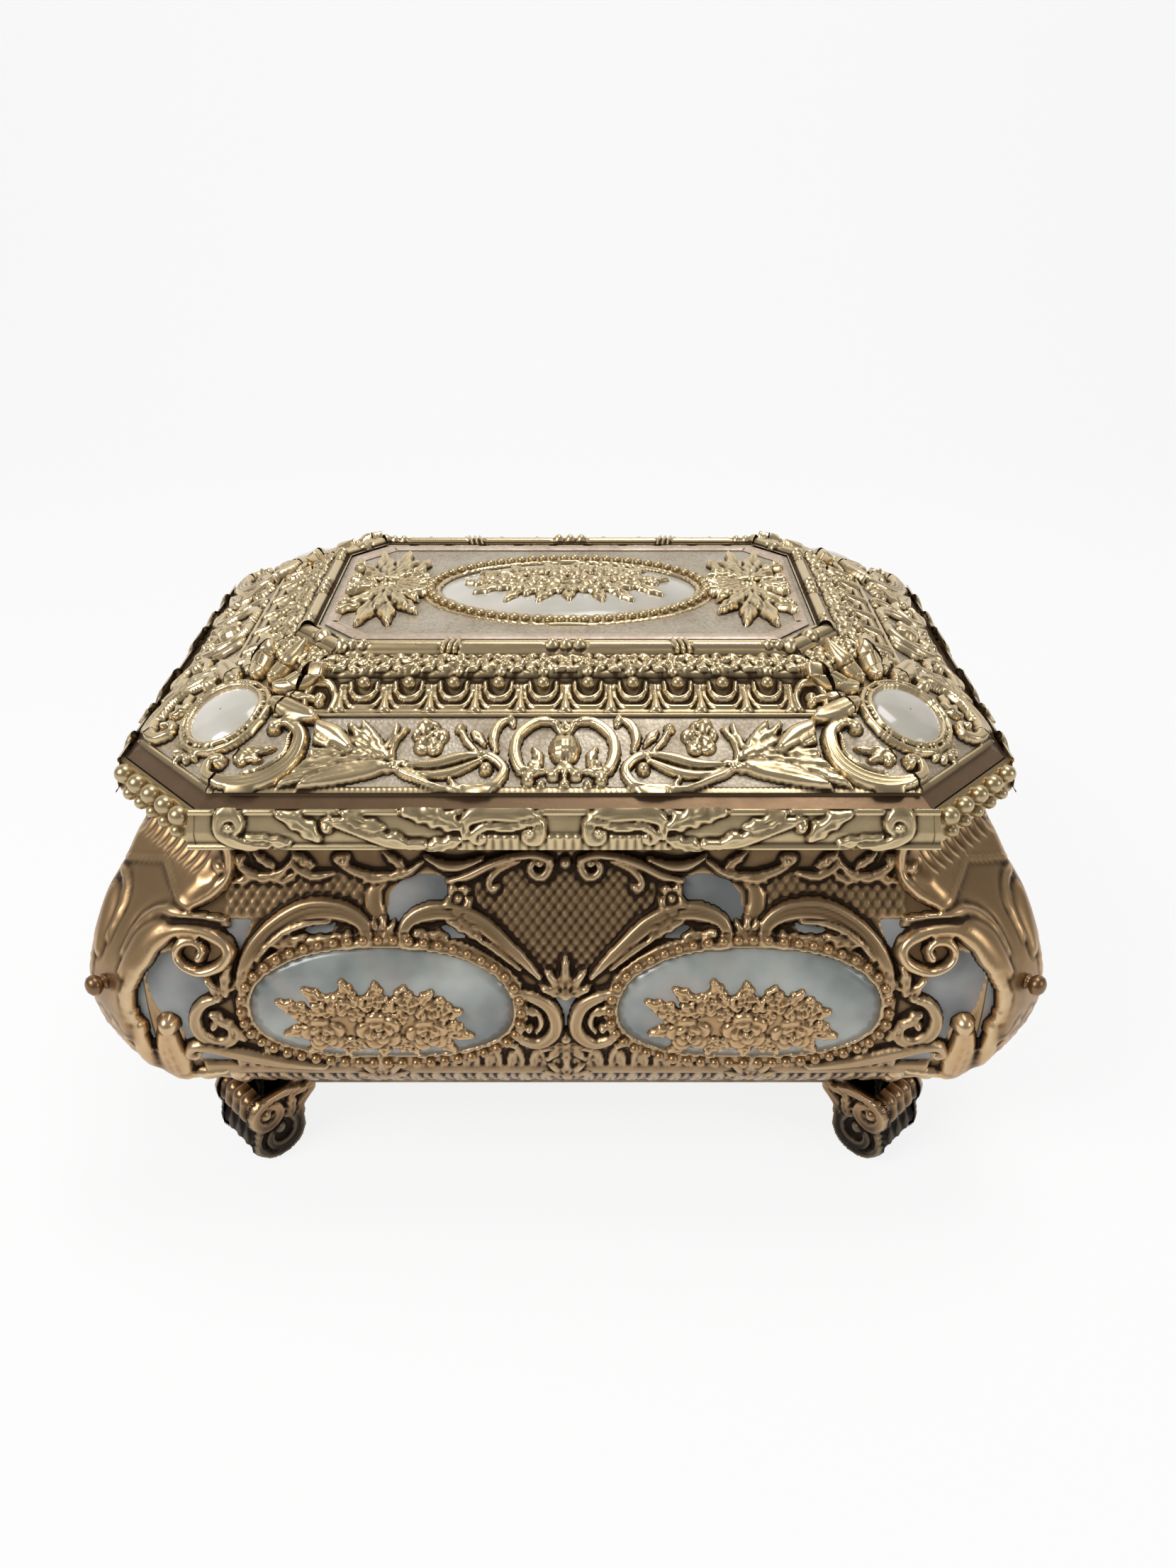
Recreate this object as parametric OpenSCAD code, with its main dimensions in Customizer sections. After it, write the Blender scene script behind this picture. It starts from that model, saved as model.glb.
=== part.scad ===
// Footed jewellery casket: a bombe octagonal body of openwork castings over a pearl ground,
// with a hinged domed lid. Front faces -Y, the box stands on z = 0.

/* [Body] */
// Width across the side flats at the neck
neck_w = 151; // [140:1:165]
// Depth across the front and rear flats at the neck
neck_d = 107; // [98:1:118]
// Leg of the corner cut at the neck
neck_cut = 17; // [14:1:20]
// Height of the body wall from the base plate to the lid seat
body_h = 64; // [56:1:72]
// Outward swell of the four flat walls
face_bulge = 11; // [8:0.5:13]
// Outward swell along the four cut corners
corner_bulge = 22; // [17:0.5:24]
// Thickness of the structural shell
shell_t = 1.6; // [1.2:0.1:2.2]
// Thickness of the pearl sheet under the castings
ground_t = 0.5; // [0.4:0.1:0.8]
// Thickness of the openwork castings
casting_t = 1.1; // [0.8:0.1:1.6]
// Thickness of the corner straps
strap_t = 2.6; // [2.0:0.1:3.2]
// Thickness of the base plate
base_t = 1.4; // [1.0:0.1:2.0]

/* [Oval plaques] */
// Half width of a front or rear plaque
plaque_a = 23.6; // [20:0.2:25]
// Half height of a plaque
plaque_b = 11.6; // [9:0.2:13]
// Half width of the single plaque on each end
end_plaque_a = 24; // [20:0.2:27]
// Distance of the two front plaques from the middle
plaque_x = 33; // [31:0.5:35]
// Height of the plaque centres above the base of the wall
plaque_up = 31; // [28:0.5:34]
// Width of the beaded ring round a plaque
ring_w = 2.6; // [2:0.1:3.2]
// Radius of a bead on a plaque ring
ring_bead_r = 0.95; // [0.7:0.05:1.2]
// Distance between bead centres on a plaque ring
ring_bead_pitch = 2.7; // [2.4:0.1:3.4]

/* [Feet and fittings] */
// Height from the table to the underside of the base plate
foot_h = 16.6; // [14:0.2:20]
// Width of a scroll foot at the toe
foot_w = 14; // [11:0.5:16]
// Radius of the toe roll
toe_r = 6.2; // [5.2:0.1:7]
// Reach of the toe from the foot stud
toe_reach = 12.6; // [11:0.2:14]
// Distance of the foot stud in from the end walls at the neck
stud_in_x = 20; // [18:0.5:24]
// Distance of the foot stud in from the front and rear walls at the neck
stud_in_y = 13; // [12:0.5:17]
// Radius of the foot stud
stud_r = 1.5; // [1.2:0.1:2]
// Radius of the corner knob
knob_r = 2.2; // [1.6:0.1:2.8]

/* [Lid] */
// How far the rim stands out beyond the end walls at the neck
rim_over_x = 6.5; // [5.5:0.1:7.5]
// How far the rim stands out beyond the front and rear walls at the neck
rim_over_y = 7; // [6:0.1:8]
// Leg of the corner cut of the top field
top_cut = 7; // [5:0.5:9]
// Height of the top field above the lid seat
lid_h = 21.6; // [19:0.2:25]
// Half length of the centre cabochon
cab_a = 26; // [22:0.5:29]
// Half width of the centre cabochon
cab_b = 14.5; // [12:0.5:17]
// Rise of the centre cabochon
cab_rise = 2.2; // [1.5:0.1:3]
// Distance between neighbouring eggs of the egg band
egg_pitch = 8; // [7.2:0.1:8.6]
// Half length of a corner cabochon, across the corner
corner_cab_a = 7; // [6:0.2:8]
// Half width of a corner cabochon, up the slope
corner_cab_b = 6; // [5:0.2:6.8]
// Radius of the large beads at the rim corners
rim_bead_r = 1.9; // [1.4:0.1:2.3]

/* [Hinges and lining] */
// Distance of a hinge from the middle
hinge_x = 38; // [30:0.5:45]
// Length of one hinge knuckle
knuckle_l = 7; // [5:0.5:9]
// Outside radius of the hinge knuckles
knuckle_r = 1.5; // [1.3:0.05:1.8]
// Radius of the hinge pin
pin_r = 0.7; // [0.6:0.05:0.9]
// Thickness of the wall lining
lining_t = 1.0; // [0.7:0.1:1.6]
// Thickness of the floor pad
pad_t = 4; // [3:0.2:6]

/* [Hidden] */

// Clearance between two layers that lie on each other
seat_gap = 0.05;
// Clearance between the lid and the body
lid_gap = 0.1;
// Longer than any cut through the box
through = 400;
base_z = foot_h + base_t;
wall_top = base_z + body_h;
neck_hw = neck_w / 2;
neck_hd = neck_d / 2;
root2 = sqrt(2);
// Run of the lid's slope from the edge of the top field to the rim
lid_run = 35;
// Half width and half depth of the flat top field
top_hw = neck_hw + rim_over_x - lid_run;
top_hd = neck_hd + rim_over_y - lid_run;
neck_dd = (neck_hw + neck_hd - neck_cut) / root2;
// Along a corner's diagonal the walls mirror each other about x - |y| = corner_skew
corner_skew = neck_hw - neck_hd;
corner_xy = neck_hw - neck_cut / 2;
gold = [0.78, 0.62, 0.40];
pale_gold = [0.80, 0.72, 0.55];
pearl = [0.80, 0.84, 0.86];
silver = [0.80, 0.78, 0.74];
velvet = [0.42, 0.06, 0.09];

// Wall profile: height as a share of the wall, swell as a share of the bulge
wall_shape = [
  [0, -0.28], [0.05, 0.02], [0.12, 0.40], [0.22, 0.76], [0.34, 0.95], [0.45, 1], [0.56, 0.925],
  [0.66, 0.74], [0.75, 0.48], [0.84, 0.20], [0.92, 0.055], [1, 0]
];
wall_steps = 2;

// Smooth curve through the points of a list that rises in its first value
function slope_at(p, i) =
  let (a = max(i - 1, 0), b = min(i + 1, len(p) - 1)) (p[b][1] - p[a][1]) / (p[b][0] - p[a][0]);
function on_span(p, i, t) =
  let (h = p[i + 1][0] - p[i][0])
  (2 * t ^ 3 - 3 * t ^ 2 + 1) * p[i][1] + (t ^ 3 - 2 * t ^ 2 + t) * h * slope_at(p, i)
  + (3 * t ^ 2 - 2 * t ^ 3) * p[i + 1][1] + (t ^ 3 - t ^ 2) * h * slope_at(p, i + 1);
function swell(t) =
  let (u = min(max(t, 0), 0.99999), i = max([for (k = [0:len(wall_shape) - 2]) if (wall_shape[k][0] <= u) k]))
  on_span(wall_shape, i, (u - wall_shape[i][0]) / (wall_shape[i + 1][0] - wall_shape[i][0]));
function wall_out(z) = swell((z - base_z) / body_h);
// How far the outer face of the wall stands from the middle at height z
function face_y(z) = neck_hd + face_bulge * wall_out(z);
function face_x(z) = neck_hw + face_bulge * wall_out(z);
function corner_r(z) = neck_dd + corner_bulge * wall_out(z);

// The wall curve as points, and the same curve moved outwards by d
function wall_curve(half, bulge) = [
  for (i = [0:len(wall_shape) - 2]) for (k = [0:wall_steps - 1])
    let (t = k / wall_steps)
    [
      half + bulge * on_span(wall_shape, i, t),
      base_z + body_h * (wall_shape[i][0] + t * (wall_shape[i + 1][0] - wall_shape[i][0]))
    ],
  [half + bulge * wall_shape[len(wall_shape) - 1][1], wall_top]
];
function unit(v) = v / norm(v);
function along(c, i) = unit(c[min(i + 1, len(c) - 1)] - c[max(i - 1, 0)]);
function shifted(c, d) = [for (i = [0:len(c) - 1]) let (t = along(c, i)) c[i] + d * [t[1], -t[0]]];
function run_on(c, d) = let (n = len(c) - 1) concat([c[0] - d * along(c, 0)], c, [[c[n][0], c[n][1] + d]]);
function both_sides(c) = concat(c, [for (i = [len(c) - 1:-1:0]) [-c[i][0], c[i][1]]]);
end_run = 6;

// Places a drawing so that it faces the front: its x stays x, its y becomes height
module upright() {
  rotate([90, 0, 0]) linear_extrude(through, center = true, convexity = 8) children();
}

// Half spaces between two heights
module slab(z1, z2) {
  translate([-through / 2, -through / 2, z1]) cube([through, through, z2 - z1]);
}

// Solid inside the wall curves moved out by d, between two heights
module bombe(d, z1, z2) {
  intersection() {
    slab(z1, z2);
    upright() polygon(both_sides(run_on(shifted(wall_curve(neck_hw, face_bulge), d), end_run)));
    rotate([0, 0, 90])
      upright() polygon(both_sides(run_on(shifted(wall_curve(neck_hd, face_bulge), d), end_run)));
    corner_walls(neck_dd, d);
  }
}
module corner_walls(half, d) {
  profile = both_sides(run_on(shifted(wall_curve(half, corner_bulge), d), end_run));
  intersection() {
    rotate([0, 0, 45]) upright() polygon(profile);
    rotate([0, 0, -45]) upright() polygon(profile);
  }
}

// Front wall only: the layer between two offsets, over the full width
module front_layer(d1, d2, z1, z2) {
  outer = run_on(shifted(wall_curve(neck_hd, face_bulge), d2), end_run);
  inner = run_on(shifted(wall_curve(neck_hd, face_bulge), d1), end_run);
  intersection() {
    slab(z1, z2);
    rotate([90, 0, -90]) linear_extrude(through, center = true)
      polygon(concat(outer, [for (i = [len(inner) - 1:-1:0]) inner[i]]));
  }
}

// Turns work drawn for the front wall round to another side, where the wall stands further out
module to_side(side) {
  if (side == "front") children();
  if (side == "rear") rotate([0, 0, 180]) children();
  if (side == "left") translate([-corner_skew, 0, 0]) rotate([0, 0, -90]) children();
  if (side == "right") translate([corner_skew, 0, 0]) rotate([0, 0, 90]) children();
}
// Mirrors work drawn for the front right corner into each of the four
module to_corner(sx, sy) {
  mirror([sx < 0 ? 1 : 0, 0, 0]) mirror([0, sy > 0 ? 1 : 0, 0]) children();
}

// Rounded oval as a drawing
oval_n = 48;
function oval(a, b, n = 2.3) = [
  for (i = [0:oval_n - 1])
    let (c = cos(i * 360 / oval_n), s = sin(i * 360 / oval_n))
    [a * sign(c) * abs(c) ^ (2 / n), b * sign(s) * abs(s) ^ (2 / n)]
];

// Body structure
ground_in = -ground_t;
shell_out = ground_in - seat_gap;
shell_in = shell_out - shell_t;
lining_out = shell_in - seat_gap;
lining_in = lining_out - lining_t;
lug_t = 2.5;
lug_cut = 30;
stud_x = neck_hw - stud_in_x;
stud_y = neck_hd - stud_in_y;
stud_gap = 0.1;

module at_studs() {
  for (sx = [-1, 1]) for (sy = [-1, 1]) translate([sx * stud_x, sy * stud_y, 0]) children();
}

module body_shell() {
  color(gold) {
    difference() {
      bombe(shell_out, base_z, wall_top);
      bombe(shell_in, base_z + lug_t, wall_top + 1);
      shell_floor_hole();
      at_studs() cylinder(h = through, r = stud_r + stud_gap, center = true, $fn = 32);
    }
  }
}
// The shell keeps a ledge all round its foot, widest in the corners for the studs
ledge_w = 5;
module shell_floor_hole() {
  hw = neck_hw - ledge_w - face_bulge * 0.28;
  hd = neck_hd - ledge_w - face_bulge * 0.28;
  translate([0, 0, base_z - 1]) linear_extrude(lug_t + 2) polygon(octagon(hw, hd, lug_cut));
}
function octagon(hw, hd, c) = [
  [hw - c, -hd], [hw, c - hd], [hw, hd - c], [hw - c, hd],
  [c - hw, hd], [-hw, hd - c], [-hw, c - hd], [c - hw, -hd]
];

module pearl_ground() {
  color(pearl) difference() {
    bombe(0, base_z, casting_top);
    bombe(ground_in, base_z - 1, casting_top + 1);
  }
}
casting_top = wall_top - 0.6;

base_reach = 0.5;
module base_plate() {
  out = face_bulge * wall_shape[0][1] + base_reach;
  diag = (neck_hw + neck_hd + 2 * out) - root2 * (neck_dd + corner_bulge * wall_shape[0][1] + base_reach);
  color(gold) difference() {
    translate([0, 0, foot_h]) linear_extrude(base_t) polygon(octagon(neck_hw + out, neck_hd + out, diag));
    at_studs() cylinder(h = through, r = stud_r + stud_gap, center = true, $fn = 32);
  }
}

// Castings: openwork plates on the pearl ground
plaque_z = base_z + plaque_up;
window_a = plaque_a + seat_gap;
window_b = plaque_b + seat_gap;
ring_top = casting_t + 0.7;
// Half width of a casting under the neck and at the swell, measured in from the wall corner
casting_neck_in = 18.5;
casting_swell_in = 14;
step_z = 0.72;

module casting_outline(half) {
  swell = half - casting_swell_in;
  neck = half - casting_neck_in;
  step_low = base_z + step_z * body_h;
  step_high = step_low + 0.08 * body_h;
  polygon([
    [-swell, base_z + 2], [swell, base_z + 2], [swell, step_low], [neck, step_high],
    [neck, casting_top], [-neck, casting_top], [-neck, step_high], [-swell, step_low]
  ]);
}
// Crescent window beside the lattice shield
crescent_x = 26;
crescent_up = body_h - 14;
module crescents() {
  for (s = [-1, 1]) translate([s * crescent_x, base_z + crescent_up]) difference() {
    circle(r = 5.2, $fn = 40);
    translate([s * 1.6, -4.6]) circle(r = 5.4, $fn = 40);
    translate([s * 6.6, 2]) circle(r = 4.6, $fn = 40);
  }
}
// Spiral band of a volute, from its eye outwards, as a drawing
spiral_n = 12;
module volute(r1, r2, turns, width) {
  n = ceil(spiral_n * turns);
  function r(i, w) = max(r1 + (r2 - r1) * i / n + w * (0.35 + 0.65 * i / n), 0.1);
  function at(i, w) = r(i, w) * [cos(360 * turns * i / n), sin(360 * turns * i / n)];
  polygon(concat([for (i = [0:n]) at(i, width / 2)], [for (i = [n:-1:0]) at(i, -width / 2)]));
  circle(r = r1 + width * 0.3, $fn = 24);
}
// Values between each two of a list, so that a line through them bends gently
function softened(v) = concat(
  [v[0]], [for (i = [0:len(v) - 2]) each [v[i] * 0.75 + v[i + 1] * 0.25, v[i] * 0.25 + v[i + 1] * 0.75]], [v[len(v) - 1]]
);
// Band along a line of points, with a half width at each point, as a drawing
module band(line, widths) {
  p = softened(line);
  w = softened(widths);
  polygon(concat(
    [for (i = [0:len(p) - 1]) let (t = along(p, i)) p[i] + w[i] * [-t[1], t[0]]],
    [for (i = [len(p) - 1:-1:0]) let (t = along(p, i)) p[i] - w[i] * [-t[1], t[0]]]
  ));
}
volute_t = 0.8;
// Scrolls beside one oval, from its centre: arches over its outer and inner half, and the scroll down its side
arch_out = [
  [25.6, 1.5], [24.4, 6.5], [20.6, 12], [15.4, 16], [10.2, 17.6], [5.4, 17.2], [2.6, 14.8], [4, 12.9], [5.6, 14]
];
arch_out_w = [0.8, 1.5, 2, 2.2, 2, 1.6, 1.1, 0.8, 0.7];
arch_in = [[-27.2, 6.5], [-23, 11], [-18, 15.4], [-12.4, 17.6], [-7.2, 17.4], [-4, 15], [-5.2, 12.8], [-7, 13.8]];
arch_in_w = [0.8, 1.5, 2, 2.1, 1.7, 1.1, 0.8, 0.7];
side_line = [
  [26, 7.4], [28.6, 6.2], [30.6, 3.8], [31.8, 0.8], [32.3, -2.6], [32, -6], [30.9, -9.2], [28.8, -11.8], [25.8, -13]
];
side_w = [0.8, 1.1, 1.4, 1.6, 1.7, 1.6, 1.4, 1.1, 0.8];
foot_leaf = [[-27, -12], [-23, -14.6], [-17, -16.2], [-11, -16.4], [-5, -15.4]];
foot_leaf_w = [0.5, 1.7, 1.5, 1.4, 0.3];
// Scrolls between the two ovals, from the middle of the wall
middle_low = [[7.6, 0], [4.8, -3.6], [4.6, -8.4], [6.8, -12], [9.8, -11.6], [9.2, -9]];
middle_high = [[12.8, 10.4], [8.6, 8.6], [5.8, 5], [5.6, 1.8], [8, 0.4]];
middle_w = [0.7, 1.2, 1.5, 1.2, 0.8, 0.7];
module front_scrolls() {
  translate([0, plaque_z]) for (s = [-1, 1]) scale([s, 1]) {
    translate([plaque_x, 0]) {
      band(arch_out, arch_out_w);
      band(arch_in, arch_in_w);
      band(side_line, side_w);
      band(foot_leaf, foot_leaf_w);
      scale([-1, 1]) band(foot_leaf, foot_leaf_w);
    }
    band(middle_low, middle_w);
    band(middle_high, middle_w);
    translate([21, 19.8]) rosette();
    frieze_half();
  }
  palmette();
}
// Scrolls over the single oval of an end
module end_scrolls() {
  translate([0, plaque_z]) for (s = [-1, 1]) scale([s, 1]) {
    band(arch_out, arch_out_w);
    translate([-1, 0]) band(side_line, side_w);
    scale([-1, 1]) band(foot_leaf, foot_leaf_w);
    translate([18.6, 20.2]) rosette();
    frieze_half();
  }
  translate([0, plaque_b + 1.4]) palmette();
}
module rosette() {
  circle(r = 2.6, $fn = 10);
}
// Volute and long leaf under the lid
module frieze_half() {
  translate([0, body_h - plaque_up - 7]) {
    translate([5.9, 0]) rotate(200) volute(1, 3.2, 1.1, 1.5);
    band([[8, -3], [12, -3.6], [17, -2.4], [22, -0.6], [27, -1.4], [31, 0]], [0.9, 1.7, 1.9, 1.3, 1.5, 0.4]);
  }
}
// Three leaves that stand on a boss
module palmette() {
  translate([0, plaque_z + 3]) {
    for (a = [35, 90, 145]) rotate(a) polygon([[0.6, -0.7], [3.8, -1.5], [6.6, 0], [3.8, 1.5], [0.6, 0.7]]);
    circle(r = 1.6, $fn = 20);
  }
}
// Row of leaf tips along the foot of a wall
tip_pitch = 4.2;
module foot_tips(half) {
  n = floor((half - casting_swell_in) / tip_pitch - 0.5);
  for (i = [-n:n]) translate([i * tip_pitch, base_z + 2.6])
    polygon([[-1.6, 0], [1.6, 0], [1.6, 4.6], [0, 7], [-1.6, 4.6]]);
}
// Crossed ribs of the lattice shield
rib_w = 0.8;
rib_pitch = 4.4;
rib_lean = 37;
module shield_ribs() {
  intersection() {
    shield();
    for (s = [-1, 1]) for (i = [-6:6]) translate([i * rib_pitch, wall_top - 16]) rotate(s * rib_lean)
      square([rib_w, 60], center = true);
  }
}
shield_w = 15;
module shield() {
  polygon([
    [-shield_w, wall_top - 7], [shield_w, wall_top - 7], [shield_w + 0.6, wall_top - 12],
    [shield_w - 4, wall_top - 17], [shield_w - 9, wall_top - 23], [0, wall_top - 26], [9 - shield_w, wall_top - 23],
    [4 - shield_w, wall_top - 17], [-shield_w - 0.6, wall_top - 12]
  ]);
}

module wide_casting() {
  intersection() {
    front_half();
    difference() {
      union() {
        intersection() {
          front_layer(seat_gap, casting_t, base_z, casting_top);
          upright() casting_outline(neck_hw);
        }
        intersection() {
          front_layer(seat_gap, casting_t + 0.4, base_z, casting_top);
          upright() {
            shield();
            foot_tips(neck_hw);
          }
        }
        intersection() {
          front_layer(casting_t, casting_t + 0.9, base_z, casting_top);
          upright() shield_ribs();
        }
        intersection() {
          front_layer(seat_gap, ring_top, base_z, casting_top);
          upright() for (s = [-1, 1]) translate([s * plaque_x, plaque_z])
            polygon(oval(plaque_a + ring_w, plaque_b + ring_w));
        }
        intersection() {
          front_layer(seat_gap, casting_t + volute_t, base_z, casting_top);
          upright() front_scrolls();
        }
      }
      upright() translate([0, plaque_z]) polygon([[-3, -9], [3, -9], [3.2, -4], [0, 1], [-3.2, -4]]);
      upright() for (s = [-1, 1]) translate([s * plaque_x, plaque_z]) polygon(oval(window_a, window_b));
      upright() crescents();
      upright() both_straps(neck_hw);
    }
  }
  for (s = [-1, 1]) ring_beads(s * plaque_x, plaque_a);
}
module end_casting() {
  intersection() {
    front_half();
    difference() {
      union() {
        intersection() {
          front_layer(seat_gap, casting_t, base_z, casting_top);
          upright() casting_outline(neck_hd);
        }
        intersection() {
          front_layer(seat_gap, ring_top, base_z, casting_top);
          upright() translate([0, plaque_z]) polygon(oval(end_plaque_a + ring_w, plaque_b + ring_w));
        }
        intersection() {
          front_layer(seat_gap, casting_t + 0.4, base_z, casting_top);
          upright() foot_tips(neck_hd);
        }
        intersection() {
          front_layer(seat_gap, casting_t + volute_t, base_z, casting_top);
          upright() end_scrolls();
        }
      }
      upright() translate([0, plaque_z]) polygon(oval(end_plaque_a + seat_gap, window_b));
      upright() both_straps(neck_hd);
    }
  }
  ring_beads(0, end_plaque_a);
}
module front_half() {
  translate([-through / 2, -through, 0]) cube([through, through - 1, through]);
}

// Beads spaced evenly round an oval ring, each sunk a third into the ring
function ring_length(p) = [
  for (i = 0, l = 0; i <= len(p); l = l + norm(p[(i + 1) % len(p)] - p[i % len(p)]), i = i + 1) l
];
function at_length(p, l, want) =
  let (i = max([for (k = [0:len(p) - 1]) if (l[k] <= want) k]), t = (want - l[i]) / (l[i + 1] - l[i]))
  p[i] * (1 - t) + p[(i + 1) % len(p)] * t;
module ring_beads(x, a) {
  line = oval(a + ring_w / 2 + 0.15, plaque_b + ring_w / 2 + 0.15);
  lengths = ring_length(line);
  count = round(lengths[oval_n] / ring_bead_pitch);
  for (i = [0:count - 1]) {
    p = at_length(line, lengths, (i + 0.5) * lengths[oval_n] / count);
    z = plaque_z + p[1];
    translate([x + p[0], -face_y(z) - ring_top, z]) sphere(r = ring_bead_r, $fn = 24);
  }
}

module front_casting() { color(gold) to_side("front") wide_casting(); }
module rear_casting() { color(gold) to_side("rear") wide_casting(); }
module left_casting() { color(gold) to_side("left") end_casting(); }
module right_casting() { color(gold) to_side("right") end_casting(); }

// Pearl plaques that fill the oval windows
plaque_t = 1.6;
module plaque_at(side, x, a) {
  to_side(side) intersection() {
    front_half();
    front_layer(seat_gap, plaque_t, base_z, casting_top);
    upright() translate([x, plaque_z]) polygon(oval(a, plaque_b));
  }
}

// A flat rose turned about its stem, with three rounds of petals
rose_n = 36;
module rose(r) {
  rotate_extrude($fn = rose_n) {
    square([r, 0.5]);
    translate([r * 0.86, 0.5]) circle(r = r * 0.13, $fn = 20);
    translate([0, 0.3]) square([r * 0.62, r * 0.2]);
    translate([r * 0.5, r * 0.2 + 0.3]) circle(r = r * 0.12, $fn = 20);
    translate([0, 0.4]) square([r * 0.24, r * 0.3]);
    intersection() {
      translate([0, r * 0.3 + 0.3]) circle(r = r * 0.24, $fn = 20);
      square([r, r * 2]);
    }
  }
}
// Places of the roses of one bouquet: across, up from the plaque middle, radius
bouquet_roses = [
  [0, -4.2, 3.4], [-7.6, -4.6, 3.1], [7.6, -4.6, 3.1], [-5.2, 1.2, 2.2], [5.4, 1.4, 2.2], [0.2, 1.8, 1.9]
];
// Leaf tips round the bouquet: across, up, length, angle
bouquet_leaves = [
  [-11, -3, 6, 165], [-10, 0, 5.5, 140], [-6, 3, 4, 115], [-2, 3, 4.4, 100], [2.5, 3, 4.4, 80], [7, 3, 4, 60],
  [10.5, 0, 5.5, 40], [11, -4, 6, 10], [-11, -6, 5, 195], [11, -7, 5, -20]
];
module leaf(length, width) {
  r = (length ^ 2 / width + width) / 4;
  intersection() {
    translate([length / 2, width / 2 - r]) circle(r = r, $fn = 40);
    translate([length / 2, r - width / 2]) circle(r = r, $fn = 40);
  }
}
leaf_w = 2.6;
leaf_t = 0.8;
module bouquet_at(side, x) {
  color(gold) to_side(side) {
    difference() {
      union() {
        intersection() {
          front_half();
          front_layer(plaque_t + seat_gap, plaque_t + leaf_t, base_z, casting_top);
          upright() translate([x, plaque_z]) {
            for (l = bouquet_leaves) translate([l[0], l[1]]) rotate(l[3]) translate([-2, 0]) leaf(l[2] + 2, leaf_w);
            translate([0, -2.2]) polygon(oval(11.6, 5.8));
          }
        }
        for (r = bouquet_roses) {
          z = plaque_z + r[1];
          tilt = atan((face_y(z + 1) - face_y(z - 1)) / 2);
          translate([x + r[0], -face_y(z) - plaque_t - 0.4, z]) rotate([90 - tilt, 0, 0]) rose(r[2]);
        }
      }
      bombe_front_cut(plaque_t + seat_gap);
    }
  }
}
// Everything behind a layer of the front wall
module bombe_front_cut(d) {
  c = run_on(shifted(wall_curve(neck_hd, face_bulge), d), end_run);
  rotate([90, 0, -90]) linear_extrude(through, center = true)
    polygon(concat([[0, c[0][1]]], c, [[0, c[len(c) - 1][1]]]));
}

// Corner straps: fluted collar, curled volute and knee leaf, wrapped round the cut corner
volute_u = 6.4;
volute_up = 0.66 * body_h;
volute_r = 6.2;
shoulder_r = 4.4;
strap_bay_r = 5;
flute_n = 7;
flute_pitch = 2.3;
flute_w = 1.2;
// The flutes start clear above the volutes
collar_foot = volute_up + volute_r + 0.6;
// Outline of one half of the strap, seen from the front and grown by a gap, from the corner of the wall's neck
module strap_outline(half, gap = 0) {
  z = base_z;
  h = body_h;
  translate([half - neck_cut, 0]) difference() {
    union() {
      translate([-gap, 0]) polygon([
        [-0.9, casting_top + 1], [-0.9, z + 0.86 * h], [2.6, z + 0.74 * h], [4, z + 0.70 * h], [10, z + 0.68 * h],
        [12.4, z + 0.60 * h], [15.4, z + 0.52 * h], [14.4, z + 0.44 * h], [12.6, z + 0.36 * h], [11.2, z + 0.28 * h],
        [7.4, z + 0.26 * h], [4.6, z + 0.17 * h], [4, z + 0.04 * h], [50, z + 0.04 * h], [50, casting_top + 1]
      ]);
      translate([volute_u, z + volute_up]) circle(r = volute_r + gap, $fn = 48);
      translate([13, z + 0.62 * h]) circle(r = shoulder_r + gap, $fn = 40);
    }
    translate([9.6, z + 0.475 * h]) circle(r = strap_bay_r - gap, $fn = 48);
  }
}
// The straps at both ends of a wall, with their clearance
module both_straps(half) {
  for (s = [-1, 1]) scale([s, 1]) strap_outline(half, seat_gap * 2);
}
module front_of_diagonal() {
  linear_extrude(through, convexity = 2)
    polygon([[corner_skew, 0], [corner_skew + through, -through], [corner_skew, -through]]);
}
module corner_scroll(sx, sy) {
  color(gold) to_corner(sx, sy) {
    difference() {
      intersection() {
        bombe(strap_t, base_z + 1, casting_top);
        strap_half_front();
      }
      bombe(seat_gap, base_z - 1, casting_top + 1);
      difference() {
        flutes();
        bombe(strap_t - 1, base_z - 1, casting_top + 1);
      }
    }
    strap_volutes();
  }
}
module strap_half_front() {
  intersection() {
    upright() strap_outline(neck_hw);
    front_of_diagonal();
  }
  mirror_diagonal() intersection() {
    upright() strap_outline(neck_hw);
    front_of_diagonal();
  }
}
// Mirror about the vertical plane x + y = corner_skew, which runs through the front right corner
module mirror_diagonal() {
  translate([corner_skew, 0, 0]) mirror([1, 1, 0]) translate([-corner_skew, 0, 0]) children();
}
module flutes() {
  translate([corner_xy, corner_skew - corner_xy, 0]) rotate([0, 0, 45])
    upright() for (i = [0:flute_n - 1])
      translate([(i - (flute_n - 1) / 2) * flute_pitch - flute_w / 2, base_z + collar_foot])
        square([flute_w, body_h]);
}
volute_sink = 0.4;
module strap_volutes() {
  u0 = neck_hw - neck_cut;
  difference() {
    intersection() {
      union() {
        one_volute(u0);
        mirror_diagonal() one_volute(u0);
      }
      bombe(strap_t + 1.2, base_z, casting_top);
    }
    bombe(strap_t - volute_sink, base_z - 1, casting_top + 1);
  }
}
module one_volute(u0) {
  intersection() {
    upright() translate([u0 + volute_u, base_z + volute_up]) scale([-1, 1]) rotate(150)
      volute(1, volute_r - 1.2, 1.3, 1.9);
    front_of_diagonal();
  }
}

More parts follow.
